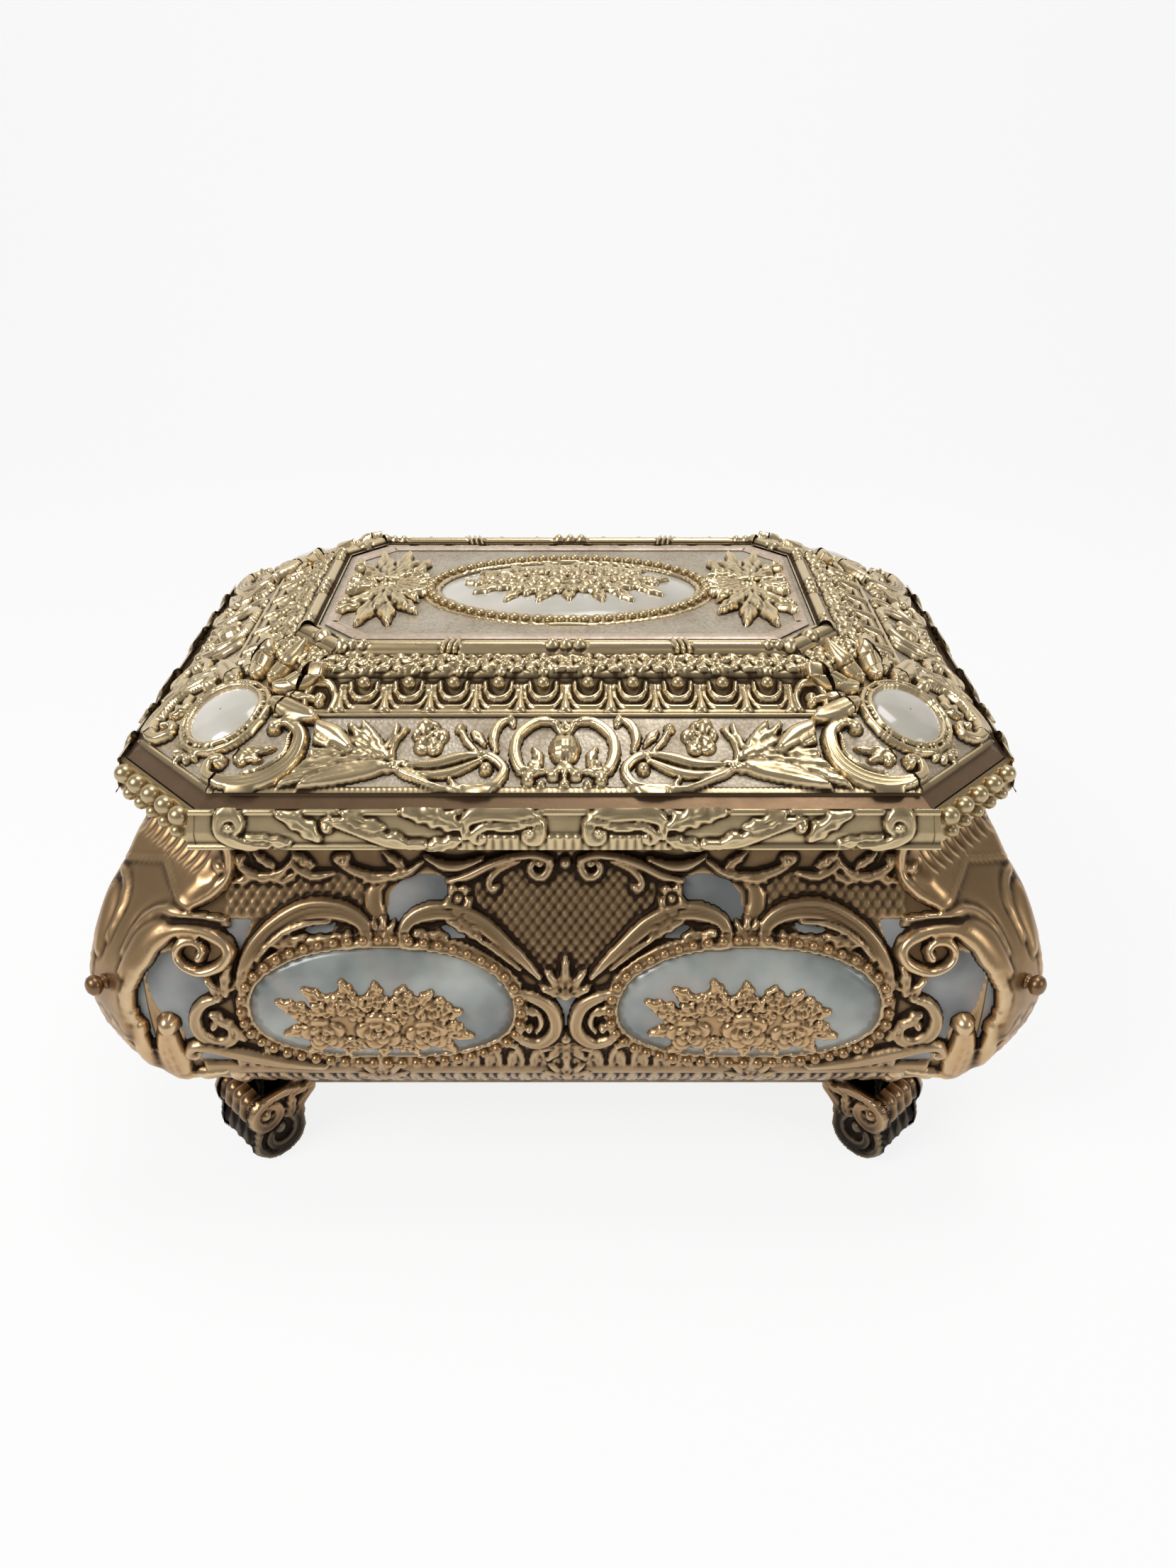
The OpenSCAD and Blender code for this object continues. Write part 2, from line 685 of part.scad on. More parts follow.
// Turned knobs on the corner straps
knob_up = 0.54 * body_h;
module corner_knobs() {
  z = base_z + knob_up;
  r = (corner_r(z) + strap_t) / root2 - neck_dd / root2;
  color(gold) for (sx = [-1, 1]) for (sy = [-1, 1]) to_corner(sx, sy)
    difference() {
      translate([corner_xy + r, corner_skew - corner_xy - r, z]) rotate([90, 0, 45]) knob_turning();
      bombe(strap_t + seat_gap, base_z - 1, casting_top + 1);
    }
}
module knob_turning() {
  translate([0, 0, -2]) cylinder(h = 3.2, r = knob_r * 0.95, $fn = 32);
  translate([0, 0, 1.2]) cylinder(h = 0.8, r = knob_r * 0.6, $fn = 32);
  translate([0, 0, 2 + knob_r * 0.7]) sphere(r = knob_r, $fn = 32);
}

// Scroll feet: each is drawn as a profile that reaches out from the stud along the diagonal
knee_r = 4.2;
knee_reach = toe_reach + 1.6;
knee_extra = 1.2;
instep_r = 5;
sole_cut = 0.5;
eye_r = 2.2;
eye_rise = 0.8;
lip_r = 0.7;
function arc(cx, cy, r, a1, a2, n) = [
  for (i = [0:n]) let (a = a1 + (a2 - a1) * i / n) [cx + r * cos(a), cy + r * sin(a)]
];
module foot_profile() {
  difference() {
    union() {
      translate([toe_reach, toe_r - sole_cut]) circle(r = toe_r, $fn = 48);
      polygon([
        [-4, foot_h], [-4, foot_h - 2], [2, foot_h - 3.4], [5.4, foot_h - 7], [toe_reach - toe_r + 0.4, toe_r],
        [toe_reach, toe_r], [toe_reach + 5, foot_h - 6], [knee_reach, foot_h]
      ]);
    }
    translate([toe_reach - toe_r - instep_r + 1.2, toe_r + 1.4]) circle(r = instep_r - 1, $fn = 40);
  }
}
module foot_frame() {
  translate([stud_x, -stud_y, 0]) rotate([0, 0, -45]) rotate([90, 0, 0]) children();
}
module foot_body() {
  foot_frame() linear_extrude(foot_w, center = true) foot_profile();
  foot_frame() translate([knee_reach, foot_h - knee_r, 0]) {
    cylinder(h = foot_w + 2 * knee_extra, r = knee_r, center = true, $fn = 40);
    cylinder(h = foot_w + 2 * (knee_extra + eye_rise), r = knee_r / 2, center = true, $fn = 32);
  }
  // Raised eye and lip on both flanks of the toe roll
  foot_frame() translate([toe_reach, toe_r - sole_cut, 0]) {
    cylinder(h = foot_w + 2 * eye_rise, r = eye_r, center = true, $fn = 32);
    for (s = [-1, 1]) translate([0, 0, s * foot_w / 2])
      rotate_extrude($fn = 40) translate([toe_r - 1.6, 0]) circle(r = lip_r, $fn = 20);
  }
}
module foot(sx, sy) {
  color(gold) to_corner(sx, sy) {
    intersection() {
      foot_body();
      slab(0, foot_h - seat_gap);
    }
    translate([stud_x, -stud_y, foot_h - 1]) cylinder(h = 1 + base_t + lug_t + nut_t, r = stud_r, $fn = 32);
  }
}
nut_t = 2;
nut_r = 3.1;
nut_gap = 0.02;
module foot_nuts() {
  color(silver) at_studs() translate([0, 0, base_z + lug_t + seat_gap]) difference() {
    cylinder(h = nut_t - seat_gap, r = nut_r, $fn = 6);
    translate([0, 0, -1]) cylinder(h = nut_t + 2, r = stud_r + nut_gap, $fn = 32);
  }
}

// Lining
pad_z = base_z + lug_t + nut_t + 0.3;
lining_top = wall_top - 0.4;
module wall_lining() {
  color(velvet) difference() {
    bombe(lining_out, pad_z, lining_top);
    bombe(lining_in, pad_z - 1, lining_top + 1);
  }
}
module floor_pad() {
  color(velvet) bombe(lining_in - seat_gap, pad_z, pad_z + pad_t);
}

// Lid: every level is the top field grown outwards, faster along the corners than along the flats
seat_z = wall_top + lid_gap;
field_z = seat_z + lid_h - lid_gap;
top_dd = (top_hw + top_hd - top_cut) / root2;
corner_rate = 1.19;
// Growth of the corner cut leg for each step out from the top field
mitre_rate = 2 - root2 * corner_rate;
fillet_run = 31.2;
function corner_run(o) = o <= fillet_run ? o * corner_rate : fillet_run * corner_rate + o - fillet_run;
// Inner face of the shell at the rim, out from the top field
rim_in = 32.2;
// Lid curves: distance out from the top field and drop below it
shell_top_curve = [
  [0, 1.6], [4, 2.6], [9, 5], [15.5, 8.4], [17, 9], [30, 16.1], [33.4, 17.8], [33.8, lid_h + 1.2]
];
shell_under_curve = [
  [0, 3.2], [4, 4.2], [9, 6.6], [15.5, 10], [30, 17.7], [rim_in, 18.8], [rim_in, lid_h + 1.2]
];
dress_curve = [
  [0, 0.4], [3.4, 0.8], [3.8, 1.4], [8.4, 3.1], [8.7, 3.8], [11, 5.5], [15, 6.9], [15.3, 6.5], [16.3, 6.7],
  [16.6, 7.4], [29.9, 14.6], [30.1, 15.1], [32.4, 16.4], [32.6, 15.9], [33.8, 16.4], [34.8, 20], [35, lid_h + 1.2]
];
rim_z = field_z - lid_h - 1.2;
function lid_points(c, half, corner, lift) = [
  for (p = c) [half + (corner ? corner_run(p[0]) : p[0]), field_z - p[1] + lift]
];
function lid_side(c, half, corner, lift) =
  let (p = lid_points(c, half, corner, lift)) concat(p, [[p[len(p) - 1][0], rim_z - 5]]);
function lid_profile(c, half, corner, lift) =
  let (p = lid_side(c, half, corner, lift)) concat([for (i = [len(p) - 1:-1:0]) [-p[i][0], p[i][1]]], p);
module lid_solid(c, lift = 0) {
  intersection() {
    slab(rim_z, field_z + 20);
    upright() polygon(lid_profile(c, top_hw, false, lift));
    rotate([0, 0, 90]) upright() polygon(lid_profile(c, top_hd, false, lift));
    rotate([0, 0, 45]) upright() polygon(lid_profile(c, top_dd, true, lift));
    rotate([0, 0, -45]) upright() polygon(lid_profile(c, top_dd, true, lift));
  }
}
// Prism of the octagon that lies o outside the top field
module lid_level(o) {
  hw = top_hw + o;
  hd = top_hd + o;
  linear_extrude(through) polygon(octagon(hw, hd, hw + hd - root2 * (top_dd + corner_run(o))));
}
module lid_ring(o1, o2, lift = 0) {
  difference() {
    intersection() {
      lid_solid(dress_curve, lift);
      lid_level(o2);
    }
    lid_solid(shell_top_curve, seat_gap);
    if (o1 > 0) lid_level(o1);
  }
}
module lid_shell() {
  color(silver) difference() {
    lid_solid(shell_top_curve);
    translate([0, 0, -0.01]) lid_solid(shell_under_curve);
    translate([0, 0, rim_z - 5]) linear_extrude(6) polygon(octagon(top_hw + rim_in, top_hd + rim_in, rim_cut()));
  }
}
function rim_cut() = top_hw + top_hd + 2 * rim_in - root2 * (top_dd + corner_run(rim_in));
frame_in = 23;
frame_out = rim_in - lid_gap;
frame_t = 1.6;
module lid_seat_frame() {
  color(silver) difference() {
    translate([0, 0, seat_z]) linear_extrude(frame_t)
      polygon(octagon(top_hw + frame_out, top_hd + frame_out, rim_cut() + lid_gap));
    translate([0, 0, seat_z - 1]) linear_extrude(frame_t + 2)
      polygon(octagon(top_hw + frame_in, top_hd + frame_in, rim_cut()));
  }
}

// Top field with its centre cabochon
panel_t = 1.15;
module top_panel() {
  color(silver) difference() {
    intersection() {
      lid_level(0);
      slab(field_z - 1.55, field_z - 1.55 + panel_t);
    }
    linear_extrude(through) polygon(oval(cab_a + seat_gap, cab_b + seat_gap, 2));
  }
}
// Half round rods with knots at the corners, the middles and the thirds
bar_o = 1.75;
bar_r = 1.0;
module top_border() {
  z = field_z + 0.1;
  pts = octagon(top_hw + bar_o, top_hd + bar_o, top_cut + bar_o * 0.3);
  color(pale_gold) {
    difference() {
      lid_ring(0.05, 3.7);
      for (i = [0:7]) rod_between(pts[i], pts[(i + 1) % 8], z + 0.35, 1.35);
    }
    for (i = [0:7]) rod_between(pts[i], pts[(i + 1) % 8], z - 0.4, bar_r);
    for (p = pts) translate([p[0], p[1], z - 0.1]) sphere(r = 1.6, $fn = 24);
    for (sy = [-1, 1]) {
      for (x = [-2, 0, 2]) translate([x, sy * (top_hd + bar_o), z]) sphere(r = 1.1, $fn = 24);
      for (sx = [-1, 1]) for (d = [-1.2, 1.2])
        translate([sx * 21 + d, sy * (top_hd + bar_o), z - 0.3]) rotate([0, 90, 0])
          cylinder(h = 1, r = 1.35, center = true, $fn = 24);
    }
    for (sx = [-1, 1]) for (y = [-2, 0, 2])
      translate([sx * (top_hw + bar_o), y, z]) sphere(r = 1.1, $fn = 24);
  }
}
module rod_between(a, b, z, r) {
  d = b - a;
  translate([a[0], a[1], z]) rotate([0, 0, atan2(d[1], d[0])]) rotate([0, 90, 0])
    cylinder(h = norm(d), r = r, $fn = 24);
}
// Pillow shaped dome over an oval: two crossing rolls cut to the outline
module pillow(a, b, rise, z) {
  ra = (a ^ 2 + rise ^ 2) / (2 * rise);
  rb = (b ^ 2 + rise ^ 2) / (2 * rise);
  intersection() {
    translate([0, 0, z]) linear_extrude(rise + 3) children();
    translate([0, 0, z + 1 + rise - ra]) rotate([90, 0, 0])
      cylinder(h = 4 * a, r = ra, center = true, $fn = 400);
    translate([0, 0, z + 1 + rise - rb]) rotate([0, 90, 0])
      cylinder(h = 4 * a, r = rb, center = true, $fn = 400);
  }
}
module centre_cabochon() {
  color(pearl) pillow(cab_a * 1.15, cab_b * 1.15, cab_rise, field_z - 1.5) polygon(oval(cab_a, cab_b, 2));
}
ring_z = field_z - 0.35;
module centre_bead_ring() {
  line = oval(cab_a + 1.9, cab_b + 1.9, 2);
  lengths = ring_length(line);
  count = round(lengths[oval_n] / 2.35);
  color(pale_gold) {
    translate([0, 0, ring_z]) linear_extrude(0.8) difference() {
      polygon(oval(cab_a + 3.3, cab_b + 3.3, 2));
      polygon(oval(cab_a + 0.5, cab_b + 0.5, 2));
    }
    for (i = [0:count - 1]) {
      p = at_length(line, lengths, (i + 0.5) * lengths[oval_n] / count);
      translate([p[0], p[1], ring_z + 1]) sphere(r = 0.8, $fn = 24);
    }
  }
}
centre_roses = [[0, 0.6, 4], [-8.6, 1.4, 3], [8.6, 1.4, 3], [-15, 2, 2.1], [15, 2, 2.1]];
centre_leaves = [
  [-3, -2, 7, 250], [3, -2, 7, 290], [-10, -1, 7, 225], [10, -1, 7, 315], [-16, 1, 6, 190], [16, 1, 6, -10],
  [-5, 3, 6, 120], [5, 3, 6, 60], [0, 3, 6, 90], [-12, 3, 5, 140], [12, 3, 5, 40]
];
module centre_bouquet() {
  z = field_z - 0.5 + cab_rise;
  color(pale_gold) difference() {
    union() {
      translate([0, 0, z - 2]) linear_extrude(2.7) {
        for (l = centre_leaves) translate([l[0], l[1]]) rotate(l[3]) leaf(l[2], 3);
        translate([0, 1.2]) polygon(oval(15, 3, 2));
      }
      for (r = centre_roses) translate([r[0], r[1], z]) rose(r[2]);
    }
    pillow(cab_a * 1.15, cab_b * 1.15, cab_rise, field_z - 1.5 + seat_gap) square(200, center = true);
    translate([0, 0, -1]) slab(0, field_z - 1);
  }
}
spray_leaves = [
  [0, 8.5, 90], [0, 8, 270], [0, 7, 35], [0, 7, -35], [0, 7.5, 145], [0, 7.5, 215], [0, 6, 180], [0, 5, 0],
  [0, 7, 60], [0, 7, 300]
];
spray_x = 37;
module leaf_spray(s) {
  color(pale_gold) translate([s * spray_x, 0, field_z - 0.35]) {
    linear_extrude(0.9) for (l = spray_leaves) rotate(l[2]) leaf(l[1], 2.6);
    translate([0, 0, 0.5]) rose(2);
  }
}

// Sloping bands below the top field
function garland_drop(o) = 1.4 + (o - 3.8) * 1.7 / 4.6;
module on_side(side) {
  if (side == "front") children();
  if (side == "rear") rotate([0, 0, 180]) children();
  if (side == "left") translate([top_hd - top_hw, 0, 0]) rotate([0, 0, -90]) children();
  if (side == "right") translate([top_hw - top_hd, 0, 0]) rotate([0, 0, 90]) children();
}
garland_o = 6.1;
garland_pitch = 6;
// Bare length kept at each end of a row
garland_end = 2;
egg_end = 8.3;
// How many copies fit on one flat between its mitres
function row_count(half, o, end, pitch) = floor(2 * (half + o - top_cut - mitre_rate * o - end) / pitch);
module garland_band() {
  color(pale_gold) {
    lid_ring(3.75, 8.5);
    for (side = ["front", "rear"]) on_side(side)
      garland_row(row_count(top_hw, garland_o, garland_end, garland_pitch));
    for (side = ["left", "right"]) on_side(side)
      garland_row(row_count(top_hd, garland_o, garland_end, garland_pitch));
  }
}
module garland_row(count) {
  for (i = [0:count - 1])
    translate([(i - (count - 1) / 2) * garland_pitch, -top_hd - garland_o, field_z - garland_drop(garland_o)])
      rotate([20, 0, 0]) rose(1.9);
}
egg_o = 12.2;
egg_drop = 6.1;
egg_r = 1.5;
egg_tilt = 25;
// How far an egg reaches down into the band
egg_sink = 0.4;
module egg_band() {
  color(pale_gold) {
    lid_ring(8.55, 16.5);
    for (side = ["front", "rear"]) on_side(side) egg_row(row_count(top_hw, egg_o, egg_end, egg_pitch));
    for (side = ["left", "right"]) on_side(side) egg_row(row_count(top_hd, egg_o, egg_end, egg_pitch));
  }
}
module egg_row(count) {
  translate([0, -top_hd - egg_o, field_z - egg_drop]) rotate([egg_tilt, 0, 0]) intersection() {
    union() {
      for (i = [0:count - 1]) translate([(i - (count - 1) / 2) * egg_pitch, 0, 0]) {
        translate([0, 0, 0.4]) sphere(r = egg_r, $fn = 24);
        rotate_extrude($fn = 36) translate([2.5, 0.1]) circle(r = 0.45, $fn = 20);
      }
      for (i = [0:count]) translate([(i - count / 2) * egg_pitch, 0, 0.1])
        rotate([90, 0, 0]) cylinder(h = 5.4, r = 0.5, center = true, $fn = 20);
    }
    translate([-through / 2, -5, -egg_sink]) cube([through, 10, 5]);
  }
}

// Lower panels: one on each flat, with a raised cartouche and a boss row
panel_in = 16.6;
panel_out = 29.85;
module lid_sector(half) {
  // Plan of one flat between its two mitres
  c1 = top_cut + mitre_rate * panel_in;
  c2 = top_cut + mitre_rate * panel_out;
  x1 = half + panel_in - c1 - seat_gap;
  x2 = half + panel_out - c2 - seat_gap;
  linear_extrude(through) polygon([
    [x1, -top_hd - panel_in], [x2, -top_hd - panel_out], [-x2, -top_hd - panel_out], [-x1, -top_hd - panel_in]
  ]);
}
panel_slope = atan((14.6 - 7.4) / (29.9 - 16.6));
function panel_z(o) = field_z - 7.4 - (o - 16.6) * 7.2 / 13.3;
module lid_panel(side, half, wide) {
  color(pale_gold) on_side(side) {
    intersection() {
      dress_layer(top_hd, false);
      lid_sector(half);
    }
    translate([0, -top_hd - 23.2, panel_z(23.2)]) rotate([panel_slope, 0, 0]) panel_scrolls(wide);
  }
}
// Prism of the dress layer over the shell, drawn for the front
module dress_layer(half, corner) {
  rotate([0, 0, 90]) difference() {
    upright() polygon(lid_profile(dress_curve, half, corner, 0));
    upright() polygon(lid_profile(shell_top_curve, half, corner, seat_gap));
  }
}
scroll_t = 1.2;
fruit_r = 1.9;
module panel_scrolls(wide) {
  // Cartouche of two facing scrolls round a fruit, and a running scroll each side
  translate([0, 0, -0.4]) {
    linear_extrude(scroll_t) {
      for (s = [-1, 1]) {
        translate([s * 4.4, -0.6]) scale([s, 1]) rotate(-70) volute_arc(4.6, 1.4, 150);
        if (wide) {
          translate([s * 16, -0.8]) scale([s, 1]) rotate(20) volute(0.8, 4, 1.2, 1.2);
          translate([s * 24.4, 0.8]) scale([-s, 1]) rotate(200) volute(0.8, 4, 1.2, 1.2);
          for (a = [-24, -2, 20]) translate([s * 29, 0]) rotate(s > 0 ? a : 180 - a) leaf(12, 3);
        }
        if (!wide) for (a = [-22, 4]) translate([s * 9, 0]) rotate(s > 0 ? a : 180 - a) leaf(11, 3);
      }
    }
    intersection() {
      translate([0, 0, 0.4]) sphere(r = fruit_r, $fn = 24);
      translate([-fruit_r, -fruit_r, 0]) cube(2 * fruit_r);
    }
  }
}
// Plain curved band
module volute_arc(r, w, sweep) {
  n = 14;
  polygon(concat(
    [for (i = [0:n]) (r + w / 2) * [cos(sweep * i / n), sin(sweep * i / n)]],
    [for (i = [n:-1:0]) (r - w / 2) * [cos(sweep * i / n), sin(sweep * i / n)]]
  ));
}

// Corner cartouches with their oval cabochons, square to the corner slope
cartouche_r = 22;
cartouche_slope = atan(7.2 / (13.3 * corner_rate));
function cartouche_z() = field_z - 7.4 - (cartouche_r - 16.6) * 7.2 / 13.3;
module at_cartouche(sx, sy) {
  d = (top_dd + corner_run(cartouche_r)) / root2;
  k = (top_hw - top_hd) / 2;
  to_corner(sx, sy) translate([d + k, k - d, cartouche_z()])
    rotate([0, 0, 45]) rotate([cartouche_slope, 0, 0]) children();
}
// Plan of the front right corner between the two mitres
module corner_sector() {
  d1 = top_dd + corner_run(panel_in + 0.05);
  d2 = top_dd + corner_run(panel_out);
  c1 = top_cut + mitre_rate * panel_in;
  c2 = top_cut + mitre_rate * panel_out;
  hw = top_hw + panel_out;
  hd = top_hd + panel_out;
  intersection() {
    linear_extrude(through) polygon([
      [top_hw + panel_in - c1 + seat_gap, -top_hd - panel_in], [hw - c2 + seat_gap, -hd], [hw, -hd],
      [hw, c2 - hd - seat_gap], [top_hw + panel_in, c1 - top_hd - panel_in - seat_gap]
    ]);
    rotate([0, 0, 45]) translate([-through / 2, -d2, 0]) cube([through, d2 - d1, through]);
  }
}
frame_w = 1.6;
module corner_cartouches() {
  color(pale_gold) for (sx = [-1, 1]) for (sy = [-1, 1]) difference() {
    union() {
      to_corner(sx, sy) intersection() {
        rotate([0, 0, 45]) dress_layer(top_dd, true);
        corner_sector();
      }
      at_cartouche(sx, sy) translate([0, 0, -0.3]) {
        linear_extrude(2.1) polygon(oval(corner_cab_a + frame_w, corner_cab_b + frame_w, 2));
        linear_extrude(1.5) for (s = [-1, 1])
          translate([s * 8.6, -5.4]) scale([s, 1]) rotate(120) volute(0.9, 4, 1.2, 1.4);
      }
    }
    at_cartouche(sx, sy) translate([0, 0, 0.6]) linear_extrude(5)
      polygon(oval(corner_cab_a + seat_gap, corner_cab_b + seat_gap, 2));
    lid_level(panel_in - seat_gap);
    lid_solid(shell_top_curve, seat_gap);
  }
}
module corner_cabochons() {
  rise = 2.4;
  r = (corner_cab_a ^ 2 + rise ^ 2) / (2 * rise);
  color(pearl) for (sx = [-1, 1]) for (sy = [-1, 1]) at_cartouche(sx, sy) intersection() {
    translate([0, 0, 0.65]) linear_extrude(6) polygon(oval(corner_cab_a, corner_cab_b, 2));
    translate([0, 0, 1.8 + rise - r]) sphere(r = r, $fn = 96);
  }
}

// Dark fillet, rim with scrolls, and the beads of the rim corners
fillet_in = panel_out + 0.1;
fillet_out = rim_in + 0.3;
module fillet_band() { color(gold) lid_ring(fillet_in, fillet_out); }
module rim_band() {
  color(pale_gold) difference() {
    union() {
      lid_ring(fillet_out + seat_gap, lid_run);
      for (side = ["front", "rear"]) on_side(side) rim_scrolls(true);
      for (side = ["left", "right"]) on_side(side) rim_scrolls(false);
    }
    lid_solid(shell_top_curve, seat_gap);
    translate([0, 0, rim_z - 12]) lid_level_slab(rim_skin_in);
    hinge_rim_notches();
  }
}
module lid_level_slab(o) {
  hw = top_hw + o;
  hd = top_hd + o;
  linear_extrude(12) polygon(octagon(hw, hd, hw + hd - root2 * (top_dd + corner_run(o))));
}
// Inner face of the rim's skin below the shell
rim_skin_in = rim_in + 1.7;
rim_mid = 3.4;
module rim_scrolls(wide) {
  translate([0, -top_hd - lid_run + 0.4, rim_z + rim_mid]) rotate([90, 0, 0]) linear_extrude(1.3) {
    for (s = [-1, 1]) {
      translate([s * 9, 0]) scale([1, 0.8]) polygon(oval(6, 3, 2.6));
      translate([s * 19, -0.4]) rotate(s > 0 ? 12 : 168) leaf(10, 3.6);
      if (wide) for (x = [32, 45]) translate([s * x, 0]) rotate(s > 0 ? 170 : 10) leaf(12, 3.4);
      translate([s * (wide ? 55 : 30), 0.4]) scale([s, 1]) rotate(90) volute(0.7, 2.4, 1.1, 1);
    }
  }
}
// One strip for each rim corner, with a row of large beads over a row of small ones
bead_strip_t = 0.6;
bead_strip_w = 22;
bead_foot = 0.4;
small_bead_r = 1.3;
module rim_beads() {
  d = top_dd + corner_run(lid_run);
  k = (top_hw - top_hd) / 2;
  color(pale_gold) for (sx = [-1, 1]) for (sy = [-1, 1])
    to_corner(sx, sy) translate([d / root2 + k, k - d / root2, rim_z]) rotate([0, 0, 45]) intersection() {
      union() {
        translate([-bead_strip_w / 2, -bead_strip_t, bead_foot]) cube([bead_strip_w, 2 * bead_strip_t, 6.2]);
        for (i = [-1.5:1:1.5]) translate([i * 5.2, -0.5, 4.7]) sphere(r = rim_bead_r, $fn = 32);
        for (i = [-2:1:2]) translate([i * 4.6, -0.4, 1.6]) sphere(r = small_bead_r, $fn = 32);
      }
      translate([-bead_strip_w, -10 - seat_gap, -10]) cube([2 * bead_strip_w, 10, 30]);
    }
}

// Padded lid lining, a shallow dome under the shell
lining_curve = [
  [0, 3.5], [4, 4.5], [9, 6.9], [15.5, 10.3], [frame_in - 0.6, 14.2], [frame_in - 0.4, lid_h - 2]
];
lining_under = [[0, 5.2], [6, 6.6], [12, 9.6], [18, 13.4], [frame_in - 2.4, 16], [frame_in - 2, lid_h + 3]];
module lid_lining() {
  color(velvet) difference() {
    lid_solid(lining_curve);
    lid_solid(lining_under);
    slab(rim_z - 5, seat_z + frame_t + seat_gap);
  }
}

// Hinges behind the rim
hinge_y = top_hd + lid_run + knuckle_r;
hinge_z = rim_z - 0.8;
knuckle_gap = 0.2;
leaf_plate_t = 0.9;
module at_hinges() { for (s = [-1, 1]) translate([s * hinge_x, 0, 0]) children(); }
module along_pin() {
  translate([0, hinge_y, hinge_z]) rotate([0, 90, 0]) children();
}
leaf_drop = 4;
body_bore = pin_r + 0.01;
lid_bore = pin_r + 0.06;
hinge_l = 3 * knuckle_l + 2 * knuckle_gap;
module body_hinge_leaves() {
  color(silver) difference() {
    at_hinges() {
      for (s = [-1, 1]) translate([s * (knuckle_l + knuckle_gap), 0, 0]) {
        translate([-knuckle_l / 2, neck_hd - 4, hinge_z - knuckle_r])
          cube([knuckle_l, hinge_y - neck_hd + 4, leaf_plate_t]);
        along_pin() cylinder(h = knuckle_l, r = knuckle_r, center = true, $fn = 32);
      }
      translate([-hinge_l / 2, neck_hd - 4, hinge_z - knuckle_r - leaf_drop])
        cube([hinge_l, 4 + casting_t + leaf_plate_t, leaf_drop + leaf_plate_t]);
    }
    bombe(casting_t + seat_gap, base_z, wall_top + 5);
    at_hinges() along_pin() cylinder(h = 2 * hinge_l, r = body_bore, center = true, $fn = 32);
  }
}
module lid_hinge_leaves() {
  w = knuckle_l - knuckle_gap;
  color(silver) at_hinges() difference() {
    union() {
      along_pin() cylinder(h = w, r = knuckle_r, center = true, $fn = 32);
      translate([-w / 2, top_hd + lid_run + seat_gap, hinge_z]) cube([w, leaf_plate_t, 7]);
    }
    along_pin() cylinder(h = 2 * hinge_l, r = lid_bore, center = true, $fn = 32);
  }
}
module hinge_pins() {
  color(silver) at_hinges() along_pin() cylinder(h = hinge_l, r = pin_r, center = true, $fn = 32);
}
module hinge_rim_notches() {
  at_hinges() translate([-hinge_l / 2 - 0.5, top_hd + lid_run, rim_z - 2]) cube([hinge_l + 1, 6, 12]);
}

body_shell();
pearl_ground();
base_plate();
front_casting();
rear_casting();
left_casting();
right_casting();
corner_scroll(-1, -1);  // corner_scroll_front_left
corner_scroll(1, -1);  // corner_scroll_front_right
corner_scroll(-1, 1);  // corner_scroll_rear_left
corner_scroll(1, 1);  // corner_scroll_rear_right
corner_knobs();
color(pearl) plaque_at("front", -plaque_x, plaque_a);  // plaque_front_left
color(pearl) plaque_at("front", plaque_x, plaque_a);  // plaque_front_right
color(pearl) plaque_at("rear", plaque_x, plaque_a);  // plaque_rear_left
color(pearl) plaque_at("rear", -plaque_x, plaque_a);  // plaque_rear_right
color(pearl) plaque_at("left", 0, end_plaque_a);  // plaque_left
color(pearl) plaque_at("right", 0, end_plaque_a);  // plaque_right
bouquet_at("front", -plaque_x);  // bouquet_front_left
bouquet_at("front", plaque_x);  // bouquet_front_right
bouquet_at("rear", plaque_x);  // bouquet_rear_left
bouquet_at("rear", -plaque_x);  // bouquet_rear_right
bouquet_at("left", 0);  // bouquet_left
bouquet_at("right", 0);  // bouquet_right
foot(-1, -1);  // foot_front_left
foot(1, -1);  // foot_front_right
foot(-1, 1);  // foot_rear_left
foot(1, 1);  // foot_rear_right
foot_nuts();
body_hinge_leaves();
hinge_pins();
wall_lining();
floor_pad();
lid_shell();
lid_seat_frame();
top_panel();
top_border();
centre_cabochon();
centre_bead_ring();
centre_bouquet();
leaf_spray(-1);  // leaf_spray_left
leaf_spray(1);  // leaf_spray_right
garland_band();
egg_band();
lid_panel("front", top_hw, true);  // lid_panel_front
lid_panel("rear", top_hw, true);  // lid_panel_rear
lid_panel("left", top_hd, false);  // lid_panel_left
lid_panel("right", top_hd, false);  // lid_panel_right
corner_cartouches();
corner_cabochons();
fillet_band();
rim_band();
rim_beads();
lid_lining();
lid_hinge_leaves();
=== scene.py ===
# Looks of a footed jewellery casket: gilt openwork castings over pearl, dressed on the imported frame
import bpy
import math
import numpy as np
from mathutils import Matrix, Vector


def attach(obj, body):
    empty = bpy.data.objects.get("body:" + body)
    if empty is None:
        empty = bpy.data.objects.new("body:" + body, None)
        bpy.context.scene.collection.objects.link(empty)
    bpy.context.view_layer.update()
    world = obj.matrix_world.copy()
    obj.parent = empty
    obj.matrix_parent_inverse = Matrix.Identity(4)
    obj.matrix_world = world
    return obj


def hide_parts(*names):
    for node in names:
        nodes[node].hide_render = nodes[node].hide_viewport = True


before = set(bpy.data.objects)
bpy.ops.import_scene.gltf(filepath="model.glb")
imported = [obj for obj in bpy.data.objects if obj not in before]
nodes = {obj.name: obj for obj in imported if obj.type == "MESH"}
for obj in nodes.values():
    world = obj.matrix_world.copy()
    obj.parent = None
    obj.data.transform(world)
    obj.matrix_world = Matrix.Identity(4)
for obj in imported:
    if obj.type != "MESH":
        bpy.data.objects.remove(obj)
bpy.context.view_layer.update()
mm = 0.001
rootTwo = math.sqrt(2)
